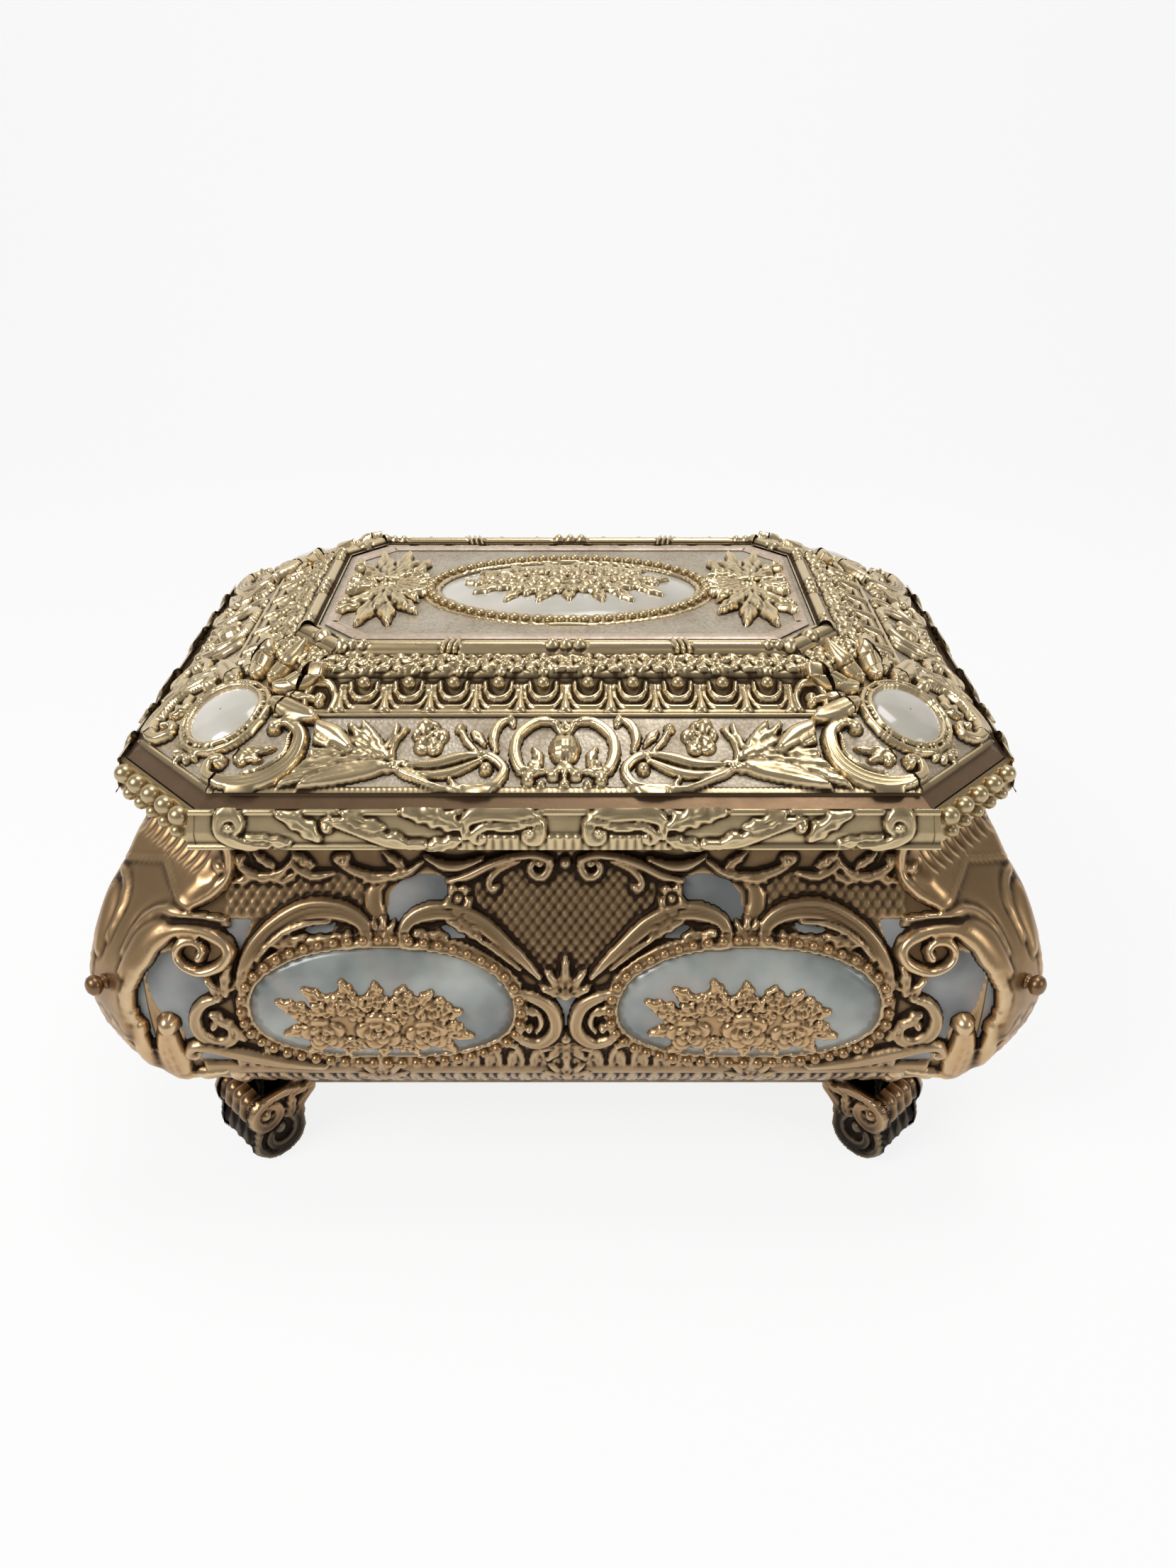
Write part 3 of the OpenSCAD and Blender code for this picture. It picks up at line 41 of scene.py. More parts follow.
sides = ("front", "rear", "left", "right")
cornerSigns = [(sx, sy) for sx in (-1, 1) for sy in (-1, 1)]

# Driving sizes in millimetres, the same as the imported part's
casket = {
    "neckHalfWidth": 75.5, "neckHalfDepth": 53.5, "neckCut": 17.0, "baseZ": 18.0, "wallHeight": 64.0,
    "faceBulge": 11.0, "cornerBulge": 22.0, "footHeight": 16.6, "castingTop": 81.4,
    "topHalfWidth": 47.0, "topHalfDepth": 25.5, "topCut": 7.0, "fieldZ": 103.6,
    "cornerRate": 1.19, "filletRun": 31.2,
}
neckWidth, neckDepth = casket["neckHalfWidth"], casket["neckHalfDepth"]
topWidth, topDepth, fieldZ = casket["topHalfWidth"], casket["topHalfDepth"], casket["fieldZ"]
faceBulge, cornerBulge, cornerRate = casket["faceBulge"], casket["cornerBulge"], casket["cornerRate"]
neckDiagonal = (neckWidth + neckDepth - casket["neckCut"]) / rootTwo
neckSkew = neckWidth - neckDepth
topDiagonal = (topWidth + topDepth - casket["topCut"]) / rootTwo
topSkew = topWidth - topDepth
mitreRate = 2 - rootTwo * cornerRate

# Wall profile: height as a share of the wall, swell as a share of the bulge
wallShape = np.array([
    (0, -0.28), (0.05, 0.02), (0.12, 0.40), (0.22, 0.76), (0.34, 0.95), (0.45, 1), (0.56, 0.925),
    (0.66, 0.74), (0.75, 0.48), (0.84, 0.20), (0.92, 0.055), (1, 0),
])
# Lid profile under the ornament: distance out from the top field, drop below it
lidShape = np.array([
    (0, 0.4), (3.4, 0.8), (3.8, 1.4), (8.4, 3.1), (8.7, 3.8), (11, 5.5), (15, 6.9), (16.6, 7.4), (29.9, 14.6),
    (30.1, 15.1), (32.4, 16.4), (32.6, 15.9), (33.8, 16.4),
])


def swell(z):
    share = np.clip((np.asarray(z, float) - casket["baseZ"]) / casket["wallHeight"], 0, 0.99999)
    times, values = wallShape[:, 0], wallShape[:, 1]
    slopes = np.array([
        (values[min(i + 1, 11)] - values[max(i - 1, 0)]) / (times[min(i + 1, 11)] - times[max(i - 1, 0)])
        for i in range(12)
    ])
    i = np.searchsorted(times, share, side="right") - 1
    span = times[i + 1] - times[i]
    t = (share - times[i]) / span
    return (
        (2 * t**3 - 3 * t**2 + 1) * values[i] + (t**3 - 2 * t**2 + t) * span * slopes[i]
        + (3 * t**2 - 2 * t**3) * values[i + 1] + (t**3 - t**2) * span * slopes[i + 1]
    )


def unitRows(vectors):
    return vectors / np.maximum(np.linalg.norm(vectors, axis=-1, keepdims=True), 1e-9)


# Surfaces: each gives points and outward normals for a grid

def turnTo(side, points, normals, skew):
    x, y, z = points[..., 0], points[..., 1], points[..., 2]
    a, b, c = normals[..., 0], normals[..., 1], normals[..., 2]
    if side == "rear":
        return np.stack([-x, -y, z], -1), np.stack([-a, -b, c], -1)
    if side == "left":
        return np.stack([y - skew, -x, z], -1), np.stack([b, -a, c], -1)
    if side == "right":
        return np.stack([skew - y, x, z], -1), np.stack([-b, a, c], -1)
    return points, normals


def onWall(side, x, z):
    out = neckDepth + faceBulge * swell(z)
    slope = faceBulge * (swell(z + 0.2) - swell(z - 0.2)) / 0.4
    points = np.stack([x, -out, z + 0 * x], -1)
    normals = unitRows(np.stack([0 * x, -1 + 0 * slope, -slope], -1))
    return turnTo(side, points, normals, neckSkew)


def lidDrop(out):
    return np.interp(out, lidShape[:, 0], lidShape[:, 1])


def cornerRun(out):
    turn = casket["filletRun"]
    return np.where(out <= turn, out * cornerRate, turn * cornerRate + out - turn)


def onLid(side, x, out, drop=None):
    fall = lidDrop if drop is None else drop
    slope = (fall(out + 0.15) - fall(out - 0.15)) / 0.3
    points = np.stack([x, -(topDepth + out), fieldZ - fall(out)], -1)
    normals = unitRows(np.stack([0 * x, -slope, 1 + 0 * slope], -1))
    return turnTo(side, points, normals, topSkew)


# The corner slopes: across runs along the corner's edge, out is measured as on the flats
def onLidCorner(sx, sy, across, out, drop=None):
    fall = lidDrop if drop is None else drop
    slope = (fall(out + 0.15) - fall(out - 0.15)) / (cornerRun(out + 0.15) - cornerRun(out - 0.15))
    reach = topDiagonal + cornerRun(out)
    shift = topSkew / 2
    x = (reach + across) / rootTwo
    y = -(reach - across) / rootTwo
    points = np.stack([x + shift, y + shift, fieldZ - fall(out)], -1)
    normals = unitRows(np.stack([slope / rootTwo, -slope / rootTwo, 1 + 0 * slope], -1))
    mirror = np.array([sx, -sy, 1.0])
    return points * mirror, normals * mirror


# Half the length of a side of the lid's octagon, and of its corner, at a distance out
def sideHalf(half, out):
    return half + out - casket["topCut"] - mitreRate * out


def cornerHalf(out):
    reach = topDiagonal + cornerRun(out)
    leg = topWidth + topDepth + 2 * out - rootTwo * reach
    return leg / rootTwo


# Mesh makers

def linked(name, data):
    piece = bpy.data.objects.new(name, data)
    bpy.context.scene.collection.objects.link(piece)
    return piece


def meshPiece(name, points, faces, material, attributes):
    mesh = bpy.data.meshes.new(name)
    points = np.asarray(points, float).reshape(-1, 3) * mm
    mesh.vertices.add(len(points))
    mesh.vertices.foreach_set("co", points.ravel())
    mesh.loops.add(faces.size)
    mesh.loops.foreach_set("vertex_index", faces.astype(np.int32).ravel())
    mesh.polygons.add(len(faces))
    mesh.polygons.foreach_set("loop_start", np.arange(0, faces.size, faces.shape[1], dtype=np.int32))
    mesh.polygons.foreach_set("use_smooth", np.full(len(faces), True))
    mesh.update(calc_edges=True)
    for key, values in attributes.items():
        layer = mesh.attributes.new(key, "FLOAT", "POINT")
        layer.data.foreach_set("value", np.asarray(values, np.float32).ravel())
    mesh.materials.append(material)
    return linked(name, mesh)


# A piece from lists of points and of faces with any number of corners
def listedPiece(name, points, faces, material):
    mesh = bpy.data.meshes.new(name)
    mesh.from_pydata((np.asarray(points) * mm).tolist(), [], faces)
    mesh.polygons.foreach_set("use_smooth", [True] * len(mesh.polygons))
    mesh.materials.append(material)
    return linked(name, mesh)


# Quads between closed rings of points, and from the last ring to the first where they go round
def ringFaces(rows, columns, first=0, round=False):
    index = np.arange(rows * columns).reshape(rows, columns) + first
    index = np.hstack([index, index[:, :1]])
    if round:
        index = np.vstack([index, index[:1]])
    return np.stack([index[:-1, :-1], index[:-1, 1:], index[1:, 1:], index[1:, :-1]], -1).reshape(-1, 4)


def softened(values, rounds):
    out = values.copy()
    for _ in range(rounds):
        edge = np.pad(out, 1, mode="edge")
        out = (edge[:-2, 1:-1] + edge[2:, 1:-1] + edge[1:-1, :-2] + edge[1:-1, 2:] + 2 * out) / 6
    return out


# A grid pushed out by its height, kept only where the relief stands above the cut
def reliefGrid(points, normals, height, cut=-0.4, floor=-0.45, tone=None):
    clipped = softened(np.maximum(height, floor), 1)
    # Cavity is high in the hollows and low on the tops; the gilt paints shade in the hollows and a highlight on
    # the tops from it
    cavity = np.clip((softened(clipped, 9) - clipped) * 1.6, -1, 1)
    moved = points + normals * clipped[..., None]
    rows, columns = clipped.shape
    index = np.arange(rows * columns).reshape(rows, columns)
    quads = np.stack([index[:-1, :-1], index[:-1, 1:], index[1:, 1:], index[1:, :-1]], -1)
    tops = np.max(np.stack([height[:-1, :-1], height[:-1, 1:], height[1:, 1:], height[1:, :-1]], -1), -1)
    quads = quads[tops > cut].reshape(-1, 4)
    flat, facing = moved.reshape(-1, 3), normals.reshape(-1, 3)
    sample = quads[len(quads) // 2]
    across = np.cross(flat[sample[1]] - flat[sample[0]], flat[sample[3]] - flat[sample[0]])
    if np.dot(across, facing[sample[0]]) < 0:
        quads = quads[:, ::-1]
    used, packed = np.unique(quads, return_inverse=True)
    shade = np.zeros(rows * columns) if tone is None else tone.ravel()
    return {
        "points": flat[used], "faces": packed.reshape(-1, 4), "cavity": cavity.ravel()[used],
        "relief": clipped.ravel()[used], "tone": shade[used],
    }


def settle(piece, body, slot, *replaced):
    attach(piece, body)
    if replaced:
        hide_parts(*replaced)
    return piece


def joinedPiece(name, parts, finish, body, slot, *replaced):
    offset, faces = 0, []
    for part in parts:
        faces.append(part["faces"] + offset)
        offset += len(part["points"])
    joined = {key: np.concatenate([part[key] for part in parts]) for key in ("points", "cavity", "relief", "tone")}
    points = joined.pop("points")
    piece = meshPiece(name, points, np.concatenate(faces), finishes[finish], joined)
    return settle(piece, body, slot, *replaced)


def lidGilt(name, parts, *replaced):
    return joinedPiece(name, parts, "paleGilt", "lid", "pale_gilt", *replaced)


# Drawing of relief: an art is a grid of two coordinates with a height and a tone

def newArt(x, y):
    return {"x": x, "y": y, "h": np.full(x.shape, -1.0), "tone": np.zeros(x.shape)}


def squareArt(x1, x2, y1, y2, step):
    return newArt(*np.meshgrid(np.arange(x1, x2, step), np.arange(y1, y2, step)))


def clear(art, taken, level=-1):
    art["h"] = np.where(taken, level, art["h"])


def cellsNear(art, xs, ys, reach):
    x, y = art["x"], art["y"]
    return np.nonzero(
        (x > min(xs) - reach) & (x < max(xs) + reach) & (y > min(ys) - reach) & (y < max(ys) + reach)
    )


# Lays a shape over the art: edge is the distance outside its outline, and a fine trench parts it from the rest
def lay(art, cells, edge, height, trench=0.36, depth=0.5, tone=None):
    old = art["h"][cells]
    inside = edge <= 0
    beside = (edge > 0) & (edge < trench)
    cutDown = np.maximum(old - depth * (1 - edge / trench), -0.05)
    lowered = np.where(beside & (old > -0.4), cutDown, old)
    art["h"][cells] = np.where(inside, np.maximum(lowered, height), lowered)
    if tone is not None:
        art["tone"][cells] = np.where(inside & (height >= old), tone, art["tone"][cells])


def curveThrough(points, steps=10):
    p = np.asarray(points, float)
    p = np.vstack([2 * p[0] - p[1], p, 2 * p[-1] - p[-2]])
    t = np.linspace(0, 1, steps, endpoint=False)[:, None]
    out = []
    for i in range(1, len(p) - 2):
        a, b, c, d = p[i - 1], p[i], p[i + 1], p[i + 2]
        square, cube = 2 * a - 5 * b + 4 * c - d, 3 * b - a - 3 * c + d
        out.append(0.5 * (2 * b + (c - a) * t + square * t**2 + cube * t**3))
    return np.vstack(out + [p[-2:-1]])


# Runs a line on round a centre in a tightening spiral
def curled(points, centre, turns=1.0):
    points = [np.asarray(p, float) for p in points]
    centre = np.asarray(centre, float)
    arm = points[-1] - centre
    way = points[-1] - points[-2]
    turnWay = 1.0 if arm[0] * way[1] - arm[1] * way[0] > 0 else -1.0
    start, radius = math.atan2(arm[1], arm[0]), float(np.linalg.norm(arm))
    count = max(int(10 * turns), 4)
    for i in range(1, count + 1):
        share = i / count
        angle = start + turnWay * 2 * math.pi * turns * share
        r = radius * (1 - 0.7 * share)
        points.append(centre + r * np.array([math.cos(angle), math.sin(angle)]))
    return points


# Distance from a line for the cells near it: share along the line, and signed distance across it
def alongLine(art, line, reach):
    line = np.asarray(line, float)
    cells = cellsNear(art, line[:, 0], line[:, 1], reach)
    x, y = art["x"][cells], art["y"][cells]
    steps = np.linalg.norm(np.diff(line, axis=0), axis=1)
    total = np.concatenate([[0], np.cumsum(steps)])
    best = np.full(x.shape, 1e9)
    share, side = np.zeros(x.shape), np.zeros(x.shape)
    for i in range(len(steps)):
        d = line[i + 1] - line[i]
        px, py = x - line[i][0], y - line[i][1]
        t = np.clip((px * d[0] + py * d[1]) / max(steps[i] ** 2, 1e-9), 0, 1)
        gap = np.hypot(px - t * d[0], py - t * d[1])
        nearer = gap < best
        best = np.where(nearer, gap, best)
        share = np.where(nearer, (total[i] + t * steps[i]) / total[-1], share)
        side = np.where(nearer, np.where(d[0] * py - d[1] * px > 0, 1.0, -1.0), side)
    return cells, best, share, side


# A scroll: a band along a line that thickens and thins, with a rounded or a fluted face
def scroll(art, points, widths, height=1.7, fluted=True, smoothLine=True, eye=0.0, tone=None, lobes=0):
    line = curveThrough(points, 6) if smoothLine else np.asarray(points)
    cells, gap, share, side = alongLine(art, line, max(widths) + 0.6)
    half = np.interp(share, np.linspace(0, 1, len(widths)), widths)
    if lobes:
        half = half * (1 + 0.28 * (side > 0) * np.cos(2 * math.pi * lobes * share))
    across = np.clip(gap / half, 0, 1)
    if fluted:
        rim = 0.72 + 0.28 * np.cos(2 * math.pi * np.clip(across * 1.02, 0, 1)) ** 2 - 0.1 * (1 - across)
        form = rim * np.clip((1 - across) * 3.2, 0, 1) ** 0.6
    else:
        form = np.sqrt(np.clip(1 - across**2, 0, 1))
    top = height * (0.35 + 0.65 * form) * np.where(half > 0.2, 1, 0.8)
    lay(art, cells, gap - half, top, tone=tone)
    if eye:
        ball(art, line[-1][0], line[-1][1], eye, height + 0.35, tone=tone)


# Several plain rounded scrolls: points, widths and height of each
def rods(art, *rows, tone=None):
    for points, widths, height in rows:
        scroll(art, points, widths, height, False, tone=tone)


# A straight even line along a band
def rail(art, y, half, height, tone=None):
    scroll(art, [(0, y), (70, y)], [half, half], height, False, False, tone=tone)


def ball(art, cx, cy, radius, height, squash=1.0, tone=None):
    cells = cellsNear(art, [cx], [cy], radius * max(squash, 1) + 0.5)
    gap = np.hypot((art["x"][cells] - cx) / squash, art["y"][cells] - cy)
    top = 0.2 + (height - 0.2) * np.sqrt(np.clip(1 - (gap / radius) ** 2, 0, 1))
    lay(art, cells, gap - radius, top, tone=tone)


# A leaf on a bent midrib with lobed edges, a vein and side ribs
def leaf(art, root, angle, length, width, bend=0.0, lobes=4, height=1.5, tone=None):
    steps = np.linspace(0, 1, 9)
    turned = math.radians(angle) + math.radians(bend) * (steps - 0.5)
    way = np.stack([np.cos(turned), np.sin(turned)], -1)
    line = np.vstack([[root], root + np.cumsum((way[:-1] + way[1:]) / 2 * length / 8, axis=0)])
    cells, gap, share, _ = alongLine(art, line, width + 0.5)
    body = (np.clip(share, 0.001, 1) ** 0.55) * (np.clip(1 - share, 0, 1) ** 0.75) * 2.05
    notch = 1 - 0.26 * (0.5 - 0.5 * np.cos(2 * math.pi * (lobes * share + 0.12))) if lobes else 1
    half = np.maximum(width * body * notch, 0.05)
    across = np.clip(gap / half, 0, 1)
    dome = np.sqrt(np.clip(1 - across**2.4, 0, 1))
    ribs = 0.12 * np.cos(2 * math.pi * (lobes * share - 0.9 * across)) * (across > 0.12) if lobes else 0
    vein = -0.3 * np.exp(-((gap / 0.22) ** 2)) * (share < 0.9)
    top = height * (0.25 + 0.75 * dome) * (0.7 + 0.5 * share**2 + 0.3 * (1 - share)) * (1 + ribs) + vein
    lay(art, cells, np.where(share >= 0.999, gap - 0.12, gap - half), top, tone=tone)


def leaves(art, *rows):
    for row in rows:
        leaf(art, *row)


# Leaves that spread from one root: angle and length of each
def fan(art, root, spread, width, lobes, height):
    for angle, length in spread:
        leaf(art, root, angle, length, width, 0, lobes, height)


def leafTo(art, root, tip, width, bend, lobes, height, turn=0):
    dx, dy = tip[0] - root[0], tip[1] - root[1]
    leaf(art, root, math.degrees(math.atan2(dy, dx)) + turn, math.hypot(dx, dy), width, bend, lobes, height)


# Two rings of leaves under a bouquet: every second tip laid outside, then all of them laid inside
def drawRings(art, form):
    middle, (rateX, rateY, drop) = form["middle"], form["roots"]
    for spread, width, turn, height in ((1.0, form["width"], 0, 1.0), form["inside"]):
        for i, (tx, ty) in enumerate(form["tips"][::1 if spread < 1 else 2]):
            tx, ty = tx * spread, (ty - middle) * spread + middle
            bend = form["bend"] if i % 2 else -form["bend"]
            leafTo(art, (rateX * tx, rateY * ty - drop), (tx, ty), width, bend, 3, height, turn)


# A rose: overlapping petals in three rings, each highest at its outer lip
def rose(art, cx, cy, radius, height, turn=0.0, tone=None):
    under = np.hypot(art["x"] - cx, art["y"] - cy) < radius * 0.98
    art["h"] = np.where(under & (art["h"] > 0), np.minimum(art["h"], 0.3 * height), art["h"])
    rings = ((5, 0.54, 0.46, 0.78), (4, 0.3, 0.34, 0.94), (3, 0.12, 0.2, 1.08))
    for ring, (count, offset, size, level) in enumerate(rings):
        for i in range(count):
            way = turn + 0.7 * ring + 2 * math.pi * i / count
            px, py = cx + radius * offset * math.cos(way), cy + radius * offset * math.sin(way)
            cells = cellsNear(art, [px], [py], radius * size)
            dx, dy = (art["x"][cells] - px) / (radius * size), (art["y"][cells] - py) / (radius * size)
            e = np.hypot(dx, dy)
            outward = np.clip(dx * math.cos(way) + dy * math.sin(way), -1, 1)
            top = height * level * (0.6 + 0.4 * outward) * np.sqrt(np.clip(1 - e**4, 0, 1))
            lay(art, cells, radius * size * (e - 1), top, 0.22, 0.3, tone)
    ball(art, cx, cy, radius * 0.14, height, tone=tone)


def flower(art, cx, cy, radius, height):
    cells = cellsNear(art, [cx], [cy], radius * 1.1)
    dx, dy = art["x"][cells] - cx, art["y"][cells] - cy
    gap, angle = np.hypot(dx, dy), np.arctan2(dy, dx) + 0.3
    petal = np.abs(np.cos(5 * angle / 2))
    reach = radius * (0.55 + 0.45 * petal**0.6)
    e = gap / reach
    top = height * (0.5 + 0.4 * np.exp(-(((e - 0.72) / 0.22) ** 2))) * (0.75 + 0.25 * petal)
    lay(art, cells, gap - reach, top)
    ball(art, cx, cy, radius * 0.3, height)


# Band between two distances from a rounded oval
def ovalBand(art, cx, cy, a, b, inner, outer, height, power=2.3):
    cells = cellsNear(art, [cx - a, cx + a], [cy - b, cy + b], outer + 0.6)
    dx, dy = (art["x"][cells] - cx), (art["y"][cells] - cy)
    u, v = np.abs(dx) / a, np.abs(dy) / b
    f = (u**power + v**power) ** (1 / power)
    gx = u ** (power - 1) / a * np.sign(dx)
    gy = v ** (power - 1) / b * np.sign(dy)
    slope = np.hypot(gx, gy) * np.maximum(f, 1e-3) ** (1 - power)
    gap = (f - 1) / np.maximum(slope, 1e-3)
    middle, half = (inner + outer) / 2, (outer - inner) / 2
    across = np.clip(np.abs(gap - middle) / half, 0, 1)
    lay(art, cells, np.abs(gap - middle) - half, height * (0.78 + 0.22 * np.cos(math.pi * across) ** 2))


def fillShape(art, inside, level, tone=None):
    art["h"] = np.where(inside, np.maximum(art["h"], level), art["h"])
    if tone is not None:
        art["tone"] = np.where(inside, tone, art["tone"])


# Crossed ribs with a stud where they meet
def lattice(art, inside, pitchX, pitchY, level, tone):
    u = art["x"] / pitchX + art["y"] / pitchY
    v = art["x"] / pitchX - art["y"] / pitchY
    du, dv = np.abs(u - np.round(u)), np.abs(v - np.round(v))
    ribs = np.maximum(np.exp(-((du / 0.12) ** 2)), np.exp(-((dv / 0.12) ** 2)))
    stud = np.exp(-((du**2 + dv**2) / 0.045))
    clear(art, inside, level + 0.2 * ribs + 0.3 * stud)
    art["tone"] = np.where(inside, tone, art["tone"])


def insidePolygon(x, y, corners):
    inside = np.zeros(x.shape, bool)
    for i in range(len(corners)):
        (x1, y1), (x2, y2) = corners[i], corners[(i + 1) % len(corners)]
        crosses = (y1 > y) != (y2 > y)
        inside ^= crosses & (x < (x2 - x1) * (y - y1) / ((y2 - y1) or 1e-9) + x1)
    return inside


# Materials

def addNode(tree, kind, links=None, **settings):
    node = tree.nodes.new(kind)
    for key, value in settings.items():
        setattr(node, key, value)
    for key, value in (links or {}).items():
        socket = node.inputs[key]
        if isinstance(value, bpy.types.NodeSocket):
            tree.links.new(value, socket)
        else:
            socket.default_value = value
    return node


def mathNode(tree, operation, a, b=0.0, clamp=False):
    return addNode(tree, "ShaderNodeMath", {0: a, 1: b}, operation=operation, use_clamp=clamp).outputs[0]


def mixColour(tree, factor, a, b):
    return addNode(tree, "ShaderNodeMix", {0: factor, 6: a, 7: b}, data_type="RGBA").outputs[2]


def noise(tree, place, scale, detail, roughness=0.5, distortion=0.0):
    return addNode(tree, "ShaderNodeTexNoise", {
        "Vector": place, "Scale": scale, "Detail": detail, "Roughness": roughness, "Distortion": distortion,
    }).outputs["Fac"]


def ranged(tree, value, low, high, top=1.0):
    return addNode(tree, "ShaderNodeMapRange", {
        "Value": value, "From Min": low, "From Max": high, "To Max": top,
    }).outputs[0]


def bumped(tree, strength, distance, height):
    return addNode(tree, "ShaderNodeBump", {
        "Strength": strength, "Distance": distance, "Height": height,
    }).outputs["Normal"]


def rgb(red, green, blue):
    def straight(v):
        v /= 255
        return v / 12.92 if v <= 0.04045 else ((v + 0.055) / 1.055) ** 2.4
    return (straight(red), straight(green), straight(blue), 1.0)


def openGroup(name, **inputs):
    tree = bpy.data.node_groups.new(name, "ShaderNodeTree")
    for label, value in inputs.items():
        kind = "NodeSocketColor" if isinstance(value, tuple) else "NodeSocketFloat"
        tree.interface.new_socket(label, in_out="INPUT", socket_type=kind).default_value = value
    place = addNode(tree, "ShaderNodeTexCoord").outputs["Object"]
    return tree, tree.nodes.new("NodeGroupInput").outputs, place


def closedGroup(tree, **outputs):
    kinds = {"Color": "NodeSocketColor", "Roughness": "NodeSocketFloat", "Normal": "NodeSocketVector"}
    for label in outputs:
        tree.interface.new_socket(label, in_out="OUTPUT", socket_type=kinds[label])
    outside = tree.nodes.new("NodeGroupOutput")
    for label, socket in outputs.items():
        tree.links.new(socket, outside.inputs[label])
    return tree


# Gilding: brown in the hollows as patina and painted shade, a painted highlight on the raised tops, mottled where
# the gold is thin
def buildGiltGroup():
    tree, inside, place = openGroup(
        "wornGildingAndPaintedLight", Bright=rgb(214, 176, 122), Deep=rgb(70, 50, 32), Rub=0.5, Grain=0.12)
    cavity = addNode(tree, "ShaderNodeAttribute", attribute_name="cavity").outputs["Fac"]
    tone = addNode(tree, "ShaderNodeAttribute", attribute_name="tone").outputs["Fac"]
    cloud = noise(tree, place, 130.0, 5.0, 0.62)
    spread = mathNode(tree, "MULTIPLY", mathNode(tree, "SUBTRACT", cloud, 0.5), 0.9)
    # Patina and painted shade: high cavity (the hollows) and the mottle pull the colour towards Deep
    hollowShadeAndMottle = mathNode(tree, "ADD", mathNode(tree, "MULTIPLY", cavity, 2.0), mathNode(tree, "MULTIPLY", spread, 0.6))
    hollowShadeAndMottle = mathNode(tree, "ADD", hollowShadeAndMottle, 0.22, clamp=True)
    # The tone attribute darkens further; on the corner straps and the feet it is painted shade
    tones = mathNode(tree, "ADD", hollowShadeAndMottle, mathNode(tree, "MULTIPLY", tone, 0.55), clamp=True)
    base = mixColour(tree, tones, inside["Bright"], inside["Deep"])
    # Painted highlight: the raised tops (low cavity) are mixed towards a pale gold
    paintedTopHighlight = mathNode(tree, "MULTIPLY", mathNode(tree, "MULTIPLY", cavity, -1.2, clamp=True), inside["Rub"])
    rough = mathNode(tree, "ADD", mathNode(tree, "MULTIPLY", tones, 0.3), 0.27)
    return closedGroup(
        tree, Color=mixColour(tree, paintedTopHighlight, base, rgb(240, 218, 180)),
        Roughness=mathNode(tree, "ADD", rough, mathNode(tree, "MULTIPLY", spread, 0.22), clamp=True),
        Normal=bumped(tree, inside["Grain"], 0.00012, noise(tree, place, 1500.0, 3.0, 0.6)))


# Pearl sheet: soft clouds of grey, green and rose
def buildPearlGroup():
    tree, inside, place = openGroup(
        "pearlClouds", Light=rgb(214, 214, 208), Shade=rgb(150, 152, 148), Rose=rgb(206, 184, 180), Scale=60.0)
    slow = noise(tree, place, inside["Scale"], 3.0)
    other = noise(tree, place, 95.0, 4.0, distortion=0.8)
    base = mixColour(tree, ranged(tree, slow, 0.35, 0.68), inside["Shade"], inside["Light"])
    base = mixColour(tree, ranged(tree, other, 0.52, 0.75, 0.6), base, inside["Rose"])
    return closedGroup(tree, Color=base, Normal=bumped(tree, 0.25, 0.0006, other))


# Fine punched grain for the silvered grounds and the nap of the velvet
def buildGrainGroup():
    tree, inside, place = openGroup(
        "punchedGrain", Light=rgb(214, 200, 180), Dark=rgb(150, 128, 100), Scale=1600.0, Depth=0.4)
    pits = addNode(tree, "ShaderNodeTexVoronoi", {"Vector": place, "Scale": inside["Scale"]}).outputs["Distance"]
    blotch = ranged(tree, noise(tree, place, 90.0, 5.0, 0.65), 0.38, 0.7)
    shade = mathNode(tree, "MULTIPLY", pits, 0.55)
    tones = mathNode(tree, "ADD", mathNode(tree, "MULTIPLY", blotch, 0.45), shade, clamp=True)
    return closedGroup(
        tree, Color=mixColour(tree, tones, inside["Light"], inside["Dark"]),
        Roughness=mathNode(tree, "ADD", mathNode(tree, "MULTIPLY", blotch, 0.2), 0.4),
        Normal=bumped(tree, inside["Depth"], 0.00015, pits))


giltGroup, pearlGroup, grainGroup = buildGiltGroup(), buildPearlGroup(), buildGrainGroup()


def groupMaterial(name, group, values, shader):
    material = bpy.data.materials.new(name)
    material.use_nodes = True
    tree = material.node_tree
    surface = tree.nodes["Principled BSDF"]
    effect = addNode(tree, "ShaderNodeGroup", node_tree=group)
    for key, value in values.items():
        effect.inputs[key].default_value = rgb(*value) if isinstance(value, tuple) else value
    tree.links.new(effect.outputs["Color"], surface.inputs["Base Color"])
    for key in ("Normal", "Roughness"):
        if key in effect.outputs:
            tree.links.new(effect.outputs[key], surface.inputs[key])
    for key, value in shader.items():
        surface.inputs[key].default_value = value
    return material


def gilded(name, bright, deep, rub, metallic):
    return groupMaterial(name, giltGroup, {"Bright": bright, "Deep": deep, "Rub": rub}, {"Metallic": metallic})


def pearly(name, light, shade, rose, roughness, coat, coatRoughness, scale=60.0):
    return groupMaterial(name, pearlGroup, {"Light": light, "Shade": shade, "Rose": rose, "Scale": scale}, {
        "Roughness": roughness, "Coat Weight": coat, "Coat Roughness": coatRoughness})


def grained(name, light, dark, scale, depth, shader):
    return groupMaterial(name, grainGroup, {"Light": light, "Dark": dark, "Scale": scale, "Depth": depth}, shader)


